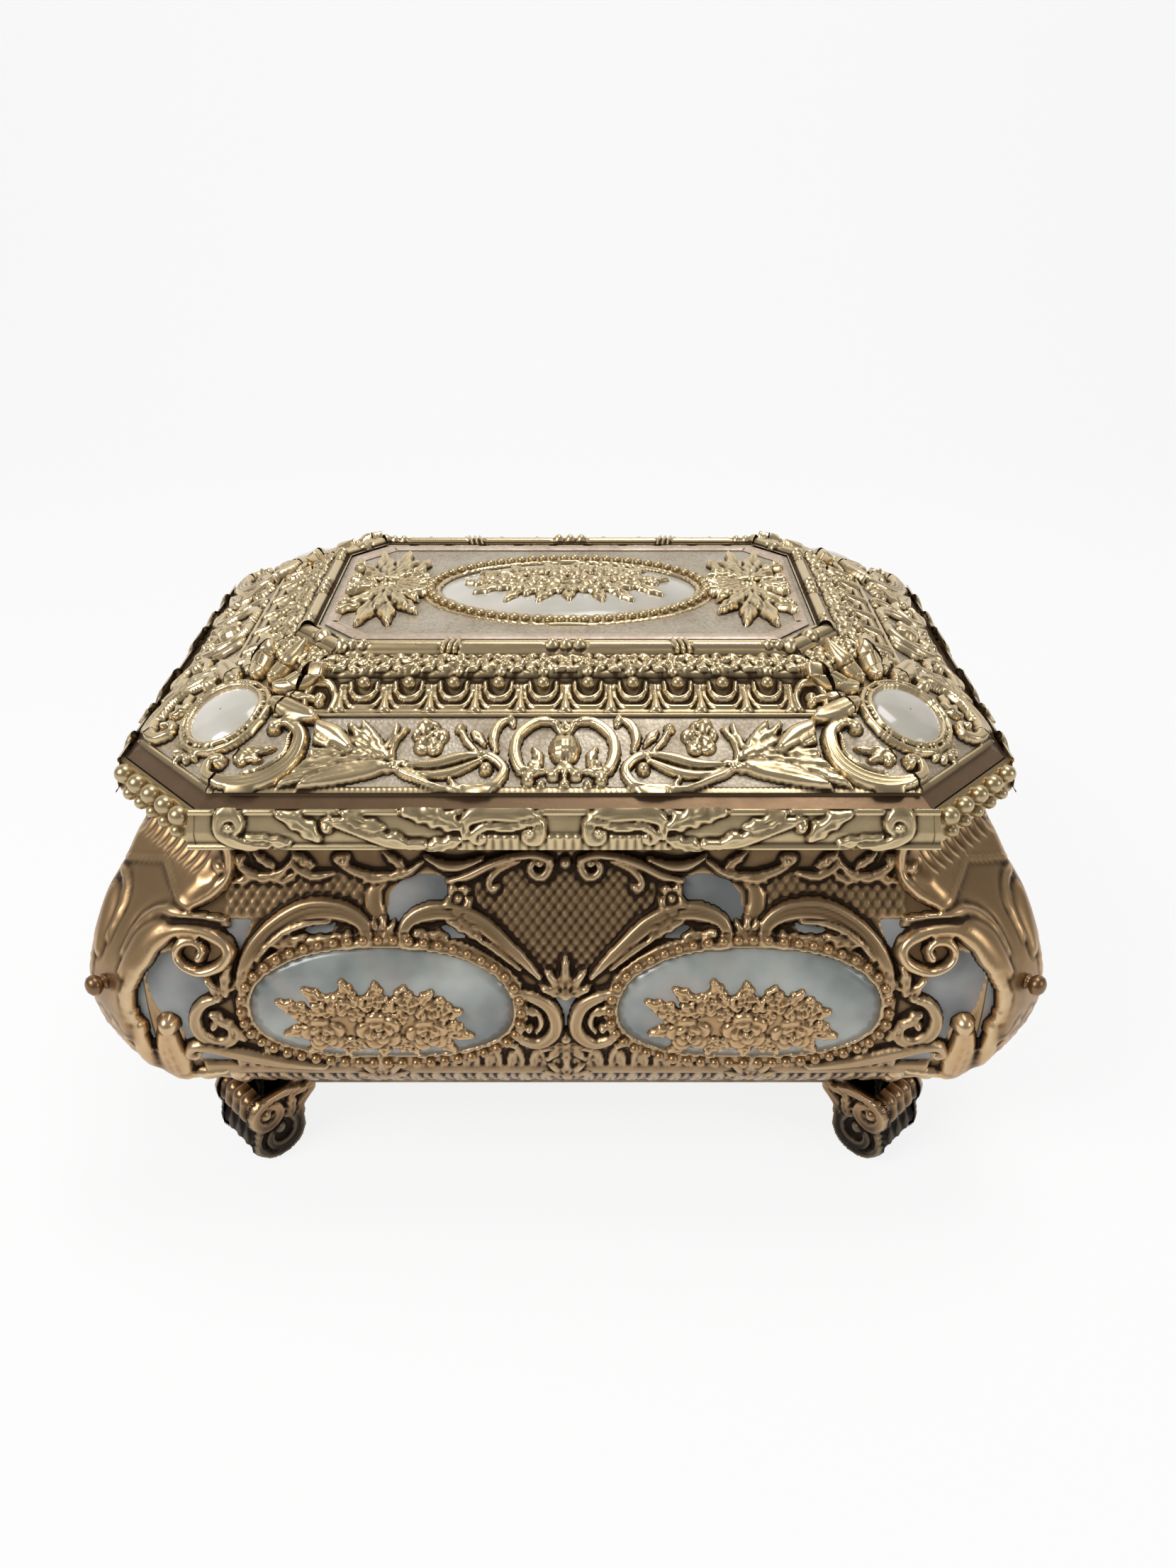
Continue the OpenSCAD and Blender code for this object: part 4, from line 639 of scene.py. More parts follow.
finishes = {
    "gilt": gilded("giltCasting", (194, 158, 114), (52, 38, 26), 0.5, 0.85),
    # The lid's paler gilt: partly its own colour, partly painted light from above
    "paleGilt": gilded("paleGilt", (210, 188, 146), (62, 46, 30), 0.6, 0.9),
    "footGilt": gilded("footGilt", (150, 118, 84), (30, 22, 15), 0.3, 0.85),
    "fillet": gilded("darkFillet", (132, 106, 80), (60, 44, 32), 0.2, 0.85),
    "pearl": pearly("pearlPlaque", (182, 186, 180), (118, 124, 122), (176, 158, 150), 0.28, 0.5, 0.12),
    "pearlSheet": pearly("pearlSheet", (170, 172, 170), (112, 116, 116), (158, 142, 134), 0.34, 0.35, 0.2),
    "cabochon": pearly("lidCabochon", (226, 222, 212), (178, 172, 158), (214, 198, 182), 0.2, 0.6, 0.08, 40.0),
    "silver": grained("silveredGround", (206, 196, 178), (146, 128, 104), 1600.0, 0.4, {"Metallic": 0.65}),
    "bevel": grained("paleBevel", (218, 198, 178), (172, 150, 128), 900.0, 0.1, {"Metallic": 0.4}),
    "shell": grained("shellMetal", (160, 138, 108), (96, 76, 54), 700.0, 0.15, {"Metallic": 0.8}),
    "hinge": grained("hingeMetal", (160, 136, 100), (96, 74, 50), 900.0, 0.1, {"Metallic": 0.9}),
    "velvet": grained("velvetLining", (122, 22, 34), (64, 8, 16), 2600.0, 0.6, {
        "Sheen Weight": 0.5, "Sheen Roughness": 0.4, "Sheen Tint": rgb(200, 110, 115)}),
}
for nodeName, finish in {
    "body_shell": "shell", "base_plate": "shell", "foot_nuts": "hinge", "body_hinge_leaves": "hinge",
    "hinge_pins": "hinge", "lid_shell": "shell", "lid_seat_frame": "shell", "top_panel": "silver",
    "fillet_band": "fillet", "lid_hinge_leaves": "hinge",
}.items():
    node = nodes[nodeName]
    if not node.material_slots:
        node.data.materials.append(finishes[finish])
    for materialSlot in node.material_slots:
        materialSlot.material = finishes[finish]
print("materials ready")


# Beads by Geometry Nodes: round or long beads set along lines that carry their facing

def buildBeadTree():
    tree = bpy.data.node_groups.new("beadRow", "GeometryNodeTree")
    face = tree.interface
    face.new_socket("Geometry", in_out="INPUT", socket_type="NodeSocketGeometry")
    for label, value in (
        ("Pitch", 0.0027), ("Radius", 0.00095), ("Length", 1.0), ("Depth", 1.0), ("Unevenness", 0.06), ("Seed", 3),
    ):
        kind = "NodeSocketInt" if label == "Seed" else "NodeSocketFloat"
        face.new_socket(label, in_out="INPUT", socket_type=kind).default_value = value
    face.new_socket("Material", in_out="INPUT", socket_type="NodeSocketMaterial")
    face.new_socket("Geometry", in_out="OUTPUT", socket_type="NodeSocketGeometry")
    inside, outside = tree.nodes.new("NodeGroupInput").outputs, tree.nodes.new("NodeGroupOutput")
    curve = addNode(tree, "GeometryNodeMeshToCurve", {"Mesh": inside["Geometry"]})
    spaced = addNode(tree, "GeometryNodeResampleCurve", {
        "Curve": curve.outputs[0], "Length": inside["Pitch"],
    }, mode="LENGTH")
    spots = addNode(tree, "GeometryNodeCurveToPoints", {"Curve": spaced.outputs[0]}, mode="EVALUATED")
    facing = addNode(tree, "GeometryNodeInputNamedAttribute", {"Name": "facing"}, data_type="FLOAT_VECTOR")
    upright = addNode(tree, "FunctionNodeAlignRotationToVector", {"Vector": facing.outputs["Attribute"]}, axis="Z")
    turned = addNode(tree, "FunctionNodeAlignRotationToVector", {
        "Rotation": upright.outputs[0], "Vector": spots.outputs["Tangent"],
    }, axis="X", pivot_axis="Z")
    bead = addNode(tree, "GeometryNodeMeshUVSphere", {"Segments": 12, "Rings": 7, "Radius": inside["Radius"]})
    smooth = addNode(tree, "GeometryNodeSetShadeSmooth", {"Geometry": bead.outputs["Mesh"]})
    vary = addNode(tree, "FunctionNodeRandomValue", {
        2: mathNode(tree, "SUBTRACT", 1.0, inside["Unevenness"]),
        3: mathNode(tree, "ADD", 1.0, inside["Unevenness"]), "Seed": inside["Seed"],
    }, data_type="FLOAT")
    scale = addNode(tree, "ShaderNodeCombineXYZ", {"X": inside["Length"], "Y": 1.0, "Z": inside["Depth"]})
    sized = addNode(tree, "ShaderNodeVectorMath", {
        0: scale.outputs[0], "Scale": vary.outputs[1],
    }, operation="SCALE")
    placed = addNode(tree, "GeometryNodeInstanceOnPoints", {
        "Points": spots.outputs["Points"], "Instance": smooth.outputs[0], "Rotation": turned.outputs[0],
        "Scale": sized.outputs[0],
    })
    real = addNode(tree, "GeometryNodeRealizeInstances", {"Geometry": placed.outputs[0]})
    coloured = addNode(tree, "GeometryNodeSetMaterial", {
        "Geometry": real.outputs[0], "Material": inside["Material"],
    })
    tree.links.new(coloured.outputs[0], outside.inputs["Geometry"])
    return tree


beadTree = buildBeadTree()


# Lines is a list of (points, normals, closed) with sizes in metres; the finished beads are one plain mesh
def beadPiece(name, lines, finish, **sizes):
    edges, start = [], 0
    for line, _, closed in lines:
        last = start + len(line) - 1
        edges += [(i, i + 1) for i in range(start, last)] + ([(last, start)] if closed else [])
        start = last + 1
    mesh = bpy.data.meshes.new(name + "Line")
    mesh.from_pydata((np.concatenate([line[0] for line in lines]) * mm).tolist(), edges, [])
    layer = mesh.attributes.new("facing", "FLOAT_VECTOR", "POINT")
    layer.data.foreach_set("vector", np.concatenate([line[1] for line in lines]).astype(np.float32).ravel())
    guide = linked(name + "Line", mesh)
    maker = guide.modifiers.new("beads", "NODES")
    maker.node_group = beadTree
    values = {"Material": finishes[finish], **sizes}
    for item in beadTree.interface.items_tree:
        if item.item_type == "SOCKET" and item.in_out == "INPUT" and item.name in values:
            maker[item.identifier] = values[item.name]
    evaluated = guide.evaluated_get(bpy.context.evaluated_depsgraph_get())
    made = bpy.data.meshes.new_from_object(evaluated)
    guide.modifiers.clear()
    bpy.data.objects.remove(guide)
    made.name = name
    if not made.materials:
        made.materials.append(finishes[finish])
    return linked(name, made)


def ovalLine(cx, cy, a, b, power=2.3, count=96):
    t = np.linspace(0, 2 * math.pi, count, endpoint=False)
    c, s = np.cos(t), np.sin(t)
    return cx + a * np.sign(c) * np.abs(c) ** (2 / power), cy + b * np.sign(s) * np.abs(s) ** (2 / power)


# Half width and depth of the wall at a height, and the leg of its corner
def wallSizes(z):
    s = swell(z)
    halfWidth = neckWidth + faceBulge * s
    halfDepth = neckDepth + faceBulge * s
    leg = halfWidth + halfDepth - rootTwo * (neckDiagonal + cornerBulge * s)
    return halfWidth, halfDepth, leg


# Front and rear castings: drawn for x >= 0 and mirrored, from the middle of the wall outwards
wideWall = {
    "step": 0.34, "reach": 76.0, "low": 19.6, "ovalX": 33.0, "ovalZ": 49.0, "ovalA": 23.6, "ovalB": 11.6,
    "ring": 2.6, "beadRadius": 0.95, "beadPitch": 2.7, "beadLift": 1.55, "edge": 75.4,
}
shieldOutline = [
    (0, 55), (3, 56), (6, 58), (9.5, 61), (13, 64.4), (15.6, 67.6), (16.4, 71), (14.6, 74), (10, 76),
    (6, 77.4), (0, 77.4),
]
# Openings through which the pearl shows
wideWindows = [
    [(74.8, 55.5), (72.6, 59.2), (69.6, 60), (68, 57.6), (66, 56), (64, 55.4), (63.4, 53), (66.8, 50.6),
     (67.8, 47), (66.6, 42.4), (69.6, 41.2), (70, 44.6), (72.4, 46.6), (73.8, 50)],
    [(60.6, 65.2), (55.6, 65), (56.8, 62), (58.4, 60), (59.6, 62)],
    [(31.2, 66.4), (30.8, 69), (29, 71), (25, 72.2), (21.4, 71.8), (20.8, 70), (20.8, 67.6), (23, 66.9), (26, 66),
     (28.6, 65), (30.6, 64.4)],
    [(47, 64.2), (43, 65.2), (40.6, 64.6), (41.4, 63.2), (45.6, 62.8)],
    [(22, 64), (18.6, 63.8), (17.6, 62.4), (20.6, 62)],
    [(68.6, 37), (66.6, 38.2), (61.6, 37.2), (61, 35.4), (64, 34.8), (68, 35)],
    [(-1, 51.6), (1.7, 51.6), (2.3, 48.6), (2.3, 46), (0, 44.6), (-1, 44.6)],
]
# End castings: one oval with scrolls each side
endWall = {**wideWall, "reach": 54.0, "ovalX": 0.0, "ovalA": 24.0, "edge": 53.4}
endWindows = [
    [(52.8, 55.5), (50.6, 59.2), (47.6, 60), (46, 57.6), (42, 55.4), (38, 55), (36, 52), (38.4, 47), (37.4, 42.4),
     (47.6, 41.2), (48, 44.6), (50.4, 46.6), (51.8, 50)],
    [(38.6, 65.2), (29, 65), (31.6, 60.6), (36, 58), (37.6, 62)],
    [(14.6, 64.2), (10.6, 65.2), (8.2, 64.6), (9, 63.2), (13.2, 62.8)],
    [(46, 37), (44, 38.2), (38.6, 37.2), (38, 35.4), (41, 34.8), (45.4, 35)],
]


def drawFrieze(art, reach):
    rods(art, ([(24.5, 75.6), (21.5, 74), (18.5, 73.8), (14.5, 75.2)], [0.4, 1.1, 1.0, 0.4], 2.1),
         ([(20.8, 71.2), (17, 72.2), (13.4, 74), (9, 75.4), (5.4, 76), (2.6, 75)],
          [0.4, 1.0, 1.0, 1.0, 0.9, 0.7], 2.2))
    line = curled([(9, 75.6), (5.4, 76), (2.8, 74.4), (3.6, 72.2)], (4.8, 73.8), 0.7)
    scroll(art, line, [0.6, 0.9, 0.9, 0.6], 2.1, eye=0.8)
    line = curled([(8, 74.6), (11, 73.6), (13, 72), (13.4, 70.4)], (12.4, 70.4), 0.4)
    scroll(art, line, [0.4, 0.8, 0.8, 0.6], 1.8, eye=0.7)
    rising = [(0, 74.6), (3, 72.6), (8, 71.8), (12, 72.8), (15, 74.8)], (13.9, 74.8)
    falling = [(0, 72.4), (3.4, 72), (6.6, 73.8)], (5.4, 74.6)
    for start, (rise, ends), rate in ((25, rising, 1), (41, falling, 1), (48, rising, 0.66)):
        if start + 13 > reach:
            continue
        line = curled([(start + dx * rate, dz) for dx, dz in rise], (start + ends[0] * rate, ends[1]), 0.7)
        scroll(art, line, [0.4, 0.9, 1.0, 0.8, 0.6], 1.5, eye=0.7)
        leaves(art, ((start + 3, 73.4), 40, 5, 1.2, 30, 3, 1.3), ((start + 6, 72.6), -20, 5, 1.1, 30, 3, 1.2))


# Upright leaves and reeds that fill the foot of a wall, over a rounded moulding
def drawFoot(art, half):
    z, pitch = art["y"], 2.1
    for i in range(int(half / pitch) + 1):
        leaf(art, (pitch * i, 33.4), 90 + (7 if i % 2 else -7), 6.6 - 1.2 * (i % 2), 1.3, 0, 0, 1.3)
    moulding = (z < 34.4) & (z > 30.8) & (art["x"] < half + 6)
    fillShape(art, moulding, 0.3 + 1.0 * np.sqrt(np.clip(1 - ((z - 32.6) / 1.9) ** 2, 0, 1)))
    for i in range(int(half / (2 * pitch)) + 1):
        leaves(art, ((2 * pitch * i, 20.6), 90, 9.4, 1.8, 0, 0, 0.9),
               ((pitch + 2 * pitch * i, 20.2), 90, 8.4, 1.4, 0, 0, 0.7))


def drawPalmette(art, cx, low, size=1.0, height=1.7):
    spread = ((18, 4.4), (162, 4.4), (52, 5.2), (128, 5.2), (90, 6.2))
    fan(art, (cx, low), [(angle, length * size) for angle, length in spread], 1.5 * size, 2, height)
    ball(art, cx, low, 1.3 * size, height + 0.2)


# Scrolls over an oval, measured from its middle: the outer half of the arch
def drawOuterArch(art, cx):
    line = [(24.4, 50.5), (24.6, 55), (22.6, 59.6), (18.8, 63.4), (13, 66.4), (7, 66.6), (3, 64.9), (2, 62.4)]
    scroll(art, curled([(cx + dx, dz) for dx, dz in line], (cx + 4.6, 62.6), 0.55),
           [0.5, 1.2, 1.7, 2.0, 2.0, 1.7, 1.2, 0.8], 2.1, eye=0.8)
    rods(art, ([(cx + 21.6, 58.6), (cx + 18, 62.2), (cx + 13, 64.4), (cx + 8.4, 64.8)], [0.3, 0.6, 0.6, 0.3], 2.3))
    leaves(art, ((cx + 19.4, 61.4), 168, 7, 1.7, -30, 3, 1.9), ((cx + 13.4, 61.8), 172, 5, 1.2, -20, 3, 1.5))


# The scroll beside an oval, its foliage and the leaf that sweeps in below
def drawSideScroll(art, cx):
    leaves(art, ((cx + 27.6, 51.6), 100, 6.4, 1.7, 30, 3, 1.9), ((cx + 28.6, 51), 60, 5.4, 1.4, -30, 2, 1.9),
           ((cx + 26.6, 53), 130, 4.6, 1.2, 0, 2, 1.6))
    beside = [(29, 51.6), (32, 50.4), (33.8, 47.4), (33.4, 43.8), (30.6, 41.4), (28, 42.4)]
    scroll(art, curled([(cx + dx, dz) for dx, dz in beside], (cx + 30, 45), 0.5),
           [0.8, 1.2, 1.4, 1.4, 1.2, 0.8], 2.1, eye=0.9)
    leaves(art, ((cx + 31.4, 48.4), 225, 6, 1.5, 40, 3, 1.9), ((cx + 27.4, 46), 250, 5, 1.3, 20, 2, 1.6))
    below = [(12, 34.6), (20, 35.8), (27, 38.2), (32, 40.2), (35.2, 40.4), (36.6, 38.6)]
    rods(art, (curled([(cx + dx, dz) for dx, dz in below], (cx + 35.2, 38.6), 0.3),
               [0.6, 1.3, 1.7, 1.6, 1.2, 0.8], 2.2))


# The ground of a wall with its upper rail and one field of lattice
def drawGround(art, wall, field):
    fillShape(art, art["x"] < wall["edge"], 0.15, tone=0.6)
    fillShape(art, art["y"] > 77.4, 0.6, tone=0.6)
    lattice(art, insidePolygon(art["x"], art["y"], field[0]), *field[1:])


def latticeStrip(art, left, right, low):
    field = [(left, low), (right, low), (right, 72.4), (left, 72.4)]
    lattice(art, insidePolygon(art["x"], art["y"], field), 1.9, 2.6, 0.2, 0.55)


# Ring that carries the beads, and the openings where no ornament crosses them
def drawOval(art, wall, windows):
    place = wall["ovalX"], wall["ovalZ"], wall["ovalA"], wall["ovalB"]
    ovalBand(art, *place, 0.0, wall["ring"], 1.25)
    ovalBand(art, *place, -0.05, 0.45, 1.75)
    for outline in windows:
        clear(art, insidePolygon(art["x"], art["y"], outline) & (art["h"] < 0.9))
    clear(art, ovalGap(art["x"], art["y"], *place) < -0.1)


def drawWideWall(art):
    drawGround(art, wideWall, (shieldOutline, 1.9, 2.2, 0.25, 0.75))
    latticeStrip(art, 33, 60, 65.4)
    # Copper band round the crescent window
    rods(art, ([(31.6, 71.6), (33.6, 69.6), (33.6, 66.4), (31.4, 63)], [0.8, 1.5, 1.7, 0.6], 0.9), tone=0.35)
    drawFoot(art, 62)
    drawPalmette(art, 34.6, 30.6, 1.1, 1.9)
    drawPalmette(art, 0, 31, 1.0, 1.9)
    # Boss, palmette and the two pairs of scrolls between the ovals
    ball(art, 0, 42.6, 2.2, 1.5)
    ball(art, 0, 42.6, 1.2, 2.2)
    fan(art, (0, 41.4), ((205, 5.4), (335, 5.4), (235, 6.4), (305, 6.4), (270, 7)), 1.5, 3, 1.7)
    line = [(10, 52.6), (6.8, 52.2), (3.4, 50.4), (1.9, 47.4), (2.2, 43.8), (5, 41.2), (8, 42.2)]
    scroll(art, curled(line, (6.6, 44.4), 0.4), [0.7, 1.2, 1.4, 1.4, 1.3, 1.0, 0.7], 2.1, eye=0.9)
    rods(art, ([(8.4, 50), (5.4, 49), (4.4, 46.4), (5.4, 44)], [0.4, 0.7, 0.7, 0.4], 1.8))
    leaves(art, ((9.6, 49.6), 200, 4.6, 1.3, 30, 2, 1.9), ((8.8, 40), 30, 5, 1.3, 30, 2, 1.5))
    drawPalmette(art, 0, 52.4, 1.1, 2.0)
    # Arches over the oval
    drawOuterArch(art, wideWall["ovalX"])
    line = [(4.6, 55.6), (7.4, 58.6), (11, 61.6), (15, 64.6), (20, 66.4), (24.6, 66.2), (27.8, 64.4), (28.4, 61.6)]
    scroll(art, curled(line, (26.2, 62.4), 0.7), [0.6, 1.2, 1.5, 1.7, 1.7, 1.5, 1.1, 0.8], 2.1, eye=0.8)
    rods(art, ([(8, 57), (12, 60.2), (16, 62.4)], [0.4, 0.8, 0.4], 1.9))
    leaves(art, ((14.6, 62.2), 22, 7, 1.5, -20, 3, 1.8), ((20.4, 62.4), 10, 4.6, 1.2, 20, 2, 1.5))
    fan(art, (32, 61.6), ((60, 4.2), (90, 4.2), (120, 4.2)), 1.2, 2, 1.7)
    drawSideScroll(art, wideWall["ovalX"])
    flower(art, 18.8, 68.4, 2.7, 1.9)
    ball(art, 0, 74.4, 1.2, 2.0)
    drawFrieze(art, 70)
    drawOval(art, wideWall, wideWindows)


def ovalGap(x, z, cx, cz, a, b, power=2.3):
    u, v = np.abs(x - cx) / a, np.abs(z - cz) / b
    f = (u**power + v**power) ** (1 / power)
    return (f - 1) * min(a, b)


def drawEndWall(art):
    drawGround(art, endWall, ([(0, 66), (9, 66.6), (13, 69), (14.6, 73.6), (0, 77.4)], 2.6, 3.2, 0.3, 0.5))
    latticeStrip(art, 22, 38, 65.6)
    drawFoot(art, 40)
    drawPalmette(art, 0, 31, 1.0, 1.9)
    drawOuterArch(art, 0.6)
    drawPalmette(art, 0, 61.4, 1.0, 2.0)
    drawSideScroll(art, 1.4)
    flower(art, 18.6, 69.6, 2.6, 1.9)
    ball(art, 0, 74.4, 1.2, 2.0)
    drawFrieze(art, 40)
    drawOval(art, endWall, endWindows)


def makeWall(side, wide):
    wall, step = wideWall if wide else endWall, wideWall["step"]
    x, z = np.meshgrid(np.arange(-wall["reach"], wall["reach"] + step / 2, step),
                       np.arange(wall["low"], casket["castingTop"] + step / 2, step))
    art = newArt(np.abs(x), z)
    (drawWideWall if wide else drawEndWall)(art)
    halfWidth, halfDepth, leg = wallSizes(z)
    clear(art, art["x"] > (halfWidth if wide else halfDepth) - leg + 0.6)
    relief = reliefGrid(*onWall(side, x, z), art["h"], tone=art["tone"])
    joinedPiece("openwork" + side.capitalize(), [relief], "gilt", "casket", "gilt_casting", side + "_casting")
    middle, lines = wall["ring"] / 2 + 0.15, []
    for cx in (-wall["ovalX"], wall["ovalX"])[:2 if wide else 1]:
        line = ovalLine(cx, wall["ovalZ"], wall["ovalA"] + middle, wall["ovalB"] + middle)
        at, facing = onWall(side, *line)
        lines.append((at + facing * wall["beadLift"], facing, True))
    beads = beadPiece("ringBeads" + side.capitalize(), lines, "gilt", Pitch=wall["beadPitch"] * mm,
                      Radius=wall["beadRadius"] * mm)
    settle(beads, "casket", "gilt_casting")


for sideName in sides:
    makeWall(sideName, sideName in sides[:2])
print("openwork castings made")


# Domed plaques and the bouquets that lie on them
plaque = {"rise": 0.75, "foot": 0.85, "bouquetStep": 0.22, "rounds": 10, "turns": 72}
# Leaf tips as seen from the plaque's middle, and roses as middle, radius and height
bouquet = {
    "middle": -2.6, "roots": (0.66, 0.5, 1.2), "width": 1.9, "inside": (0.74, 1.9, 9, 1.15), "bend": 14,
    "tips": [
        (-19, 2.4), (-16.6, 4.2), (-14, 4.9), (-10.6, 5.4), (-7, 6.6), (-4, 5.8), (-1, 6.2), (1.8, 5.4),
        (4.5, 5.4), (7, 4.6), (9.4, 4.6), (12.7, 2.6), (14.6, 0.4), (15.6, -2.6), (16.4, -5.4), (16.2, -8.6), (13, -9.6),
        (9.4, -10.8), (6, -10), (2.6, -10.4), (-0.6, -10.8), (-4, -9.8), (-7.4, -10.4), (-11, -10.6),
        (-14.6, -9.8), (-17.6, -8.6), (-18.2, -5), (-19, -1.6),
    ],
    "roses": [
        (-14.6, 0.2, 2.1, 1.3), (-7.6, 2.0, 2.6, 1.5), (-1.0, 2.8, 2.0, 1.4), (4.7, 2.2, 2.4, 1.5),
        (10.3, 0.8, 2.6, 1.5), (-4.4, -0.2, 1.7, 1.4), (3.2, -0.8, 1.6, 1.4), (-12.4, -2.2, 1.8, 1.4),
        (12.8, -3.4, 1.9, 1.3), (-5.6, -8.0, 1.8, 1.3), (3.6, -8.2, 1.8, 1.3), (-10.8, -4.8, 4.3, 1.9),
        (8.0, -4.8, 4.1, 1.9), (-0.6, -3.8, 4.4, 2.1),
    ],
}


def makePlaque(name, side, cx, a, node):
    rounds, turns, power = plaque["rounds"], plaque["turns"], 2 / 2.3
    r, t = np.meshgrid(np.linspace(0, 1, rounds + 1)[1:], np.linspace(0, 2 * math.pi, turns, endpoint=False),
                       indexing="ij")
    c, s = np.cos(t), np.sin(t)
    x = cx + r * (a - 0.02) * np.sign(c) * np.abs(c) ** power
    z = wideWall["ovalZ"] + r * (wideWall["ovalB"] - 0.02) * np.sign(s) * np.abs(s) ** power
    height = plaque["foot"] + plaque["rise"] * (1 - r**2)
    x, z = (np.concatenate([row, row[-1:]]) for row in (x, z))
    height = np.concatenate([height, np.full((1, turns), 0.05)])
    points, normals = onWall(side, x, z)
    points = points + normals * height[..., None]
    middle, up = onWall(side, np.array([cx]), np.array([wideWall["ovalZ"]]))
    top = middle + up * (plaque["foot"] + plaque["rise"])
    faces = [(0, 1 + j, 1 + (j + 1) % turns) for j in range(turns)]
    faces += ringFaces(rounds + 1, turns, 1)[:, (0, 3, 2, 1)].tolist()
    piece = listedPiece(name, np.vstack([top, points.reshape(-1, 3)]), faces, finishes["pearl"])
    settle(piece, "casket", "pearl", node)


def makeBouquet(name, side, cx, node):
    art = squareArt(-21, 21, -12, 11, plaque["bouquetStep"])
    x, z = art["x"], art["y"]
    fillShape(art, np.hypot((x + 1) / 14.5, (z + 2.8) / 6.4) < 1, 0.35)
    drawRings(art, bouquet)
    for i, row in enumerate(bouquet["roses"]):
        rose(art, *row, turn=i * 1.3)
    share = np.clip((x / endWall["ovalA"]) ** 2 + (z / wideWall["ovalB"]) ** 2, 0, 1.6)
    ground = plaque["foot"] + plaque["rise"] * (1 - share)
    points, normals = onWall(side, x + cx, z + wideWall["ovalZ"])
    height = np.where(art["h"] > 0, art["h"], -0.5)
    relief = reliefGrid(points + normals * ground[..., None], normals, height, cut=0.0, floor=-0.2)
    joinedPiece(name, [relief], "gilt", "casket", "gilt_casting", node)


for *words, sign in (
    ("front", "left", -1), ("front", "right", 1), ("rear", "left", 1), ("rear", "right", -1),
    ("left", 0), ("right", 0),
):
    label = "".join(word.capitalize() for word in words)
    centre, ovalA = sign * wideWall["ovalX"], wideWall["ovalA"] if sign else endWall["ovalA"]
    makePlaque("plaque" + label, words[0], centre, ovalA, "_".join(["plaque"] + words))
    makeBouquet("bouquet" + label, words[0], centre, "_".join(["bouquet"] + words))
print("plaques and bouquets made")


# Corner straps, drawn on half a corner and reflected about the diagonal
strap = {"start": 54.0, "rows": 185, "columns": 78, "rounding": 5}


def cornerLabels(sx, sy):
    words = ("front" if sy < 0 else "rear", "left" if sx < 0 else "right")
    return "_".join(words), "".join(word.capitalize() for word in words)


def cornerSheet(rows, columns):
    z = np.linspace(wideWall["low"], casket["castingTop"], rows)
    halfWidth, halfDepth, leg = wallSizes(z)
    edge = halfWidth - leg
    flat = edge - strap["start"]
    run = np.linspace(0, 1, columns)[None, :] * (flat + leg / rootTwo)[:, None]
    onFlat, turned = run <= flat[:, None], (run - flat[:, None]) / rootTwo
    x = np.where(onFlat, strap["start"] + run, edge[:, None] + turned)
    y = np.where(onFlat, -halfDepth[:, None], -halfDepth[:, None] + turned)
    up = np.repeat(z[:, None], columns, axis=1)
    mirrored = np.stack([neckSkew - y, neckSkew - x, up], -1)[:, ::-1][:, 1:]
    whole = np.concatenate([np.stack([x, y, up], -1), mirrored], axis=1)
    for _ in range(strap["rounding"]):
        whole[:, 1:-1] = (whole[:, :-2] + 2 * whole[:, 1:-1] + whole[:, 2:]) / 4
    normals = unitRows(np.cross(np.gradient(whole, axis=1), np.gradient(whole, axis=0)))
    art = newArt(np.concatenate([x, x[:, ::-1][:, 1:]], axis=1), np.concatenate([up, up[:, 1:]], axis=1))
    return whole, normals, art, leg[:, None], (halfWidth - leg / 2)[:, None]


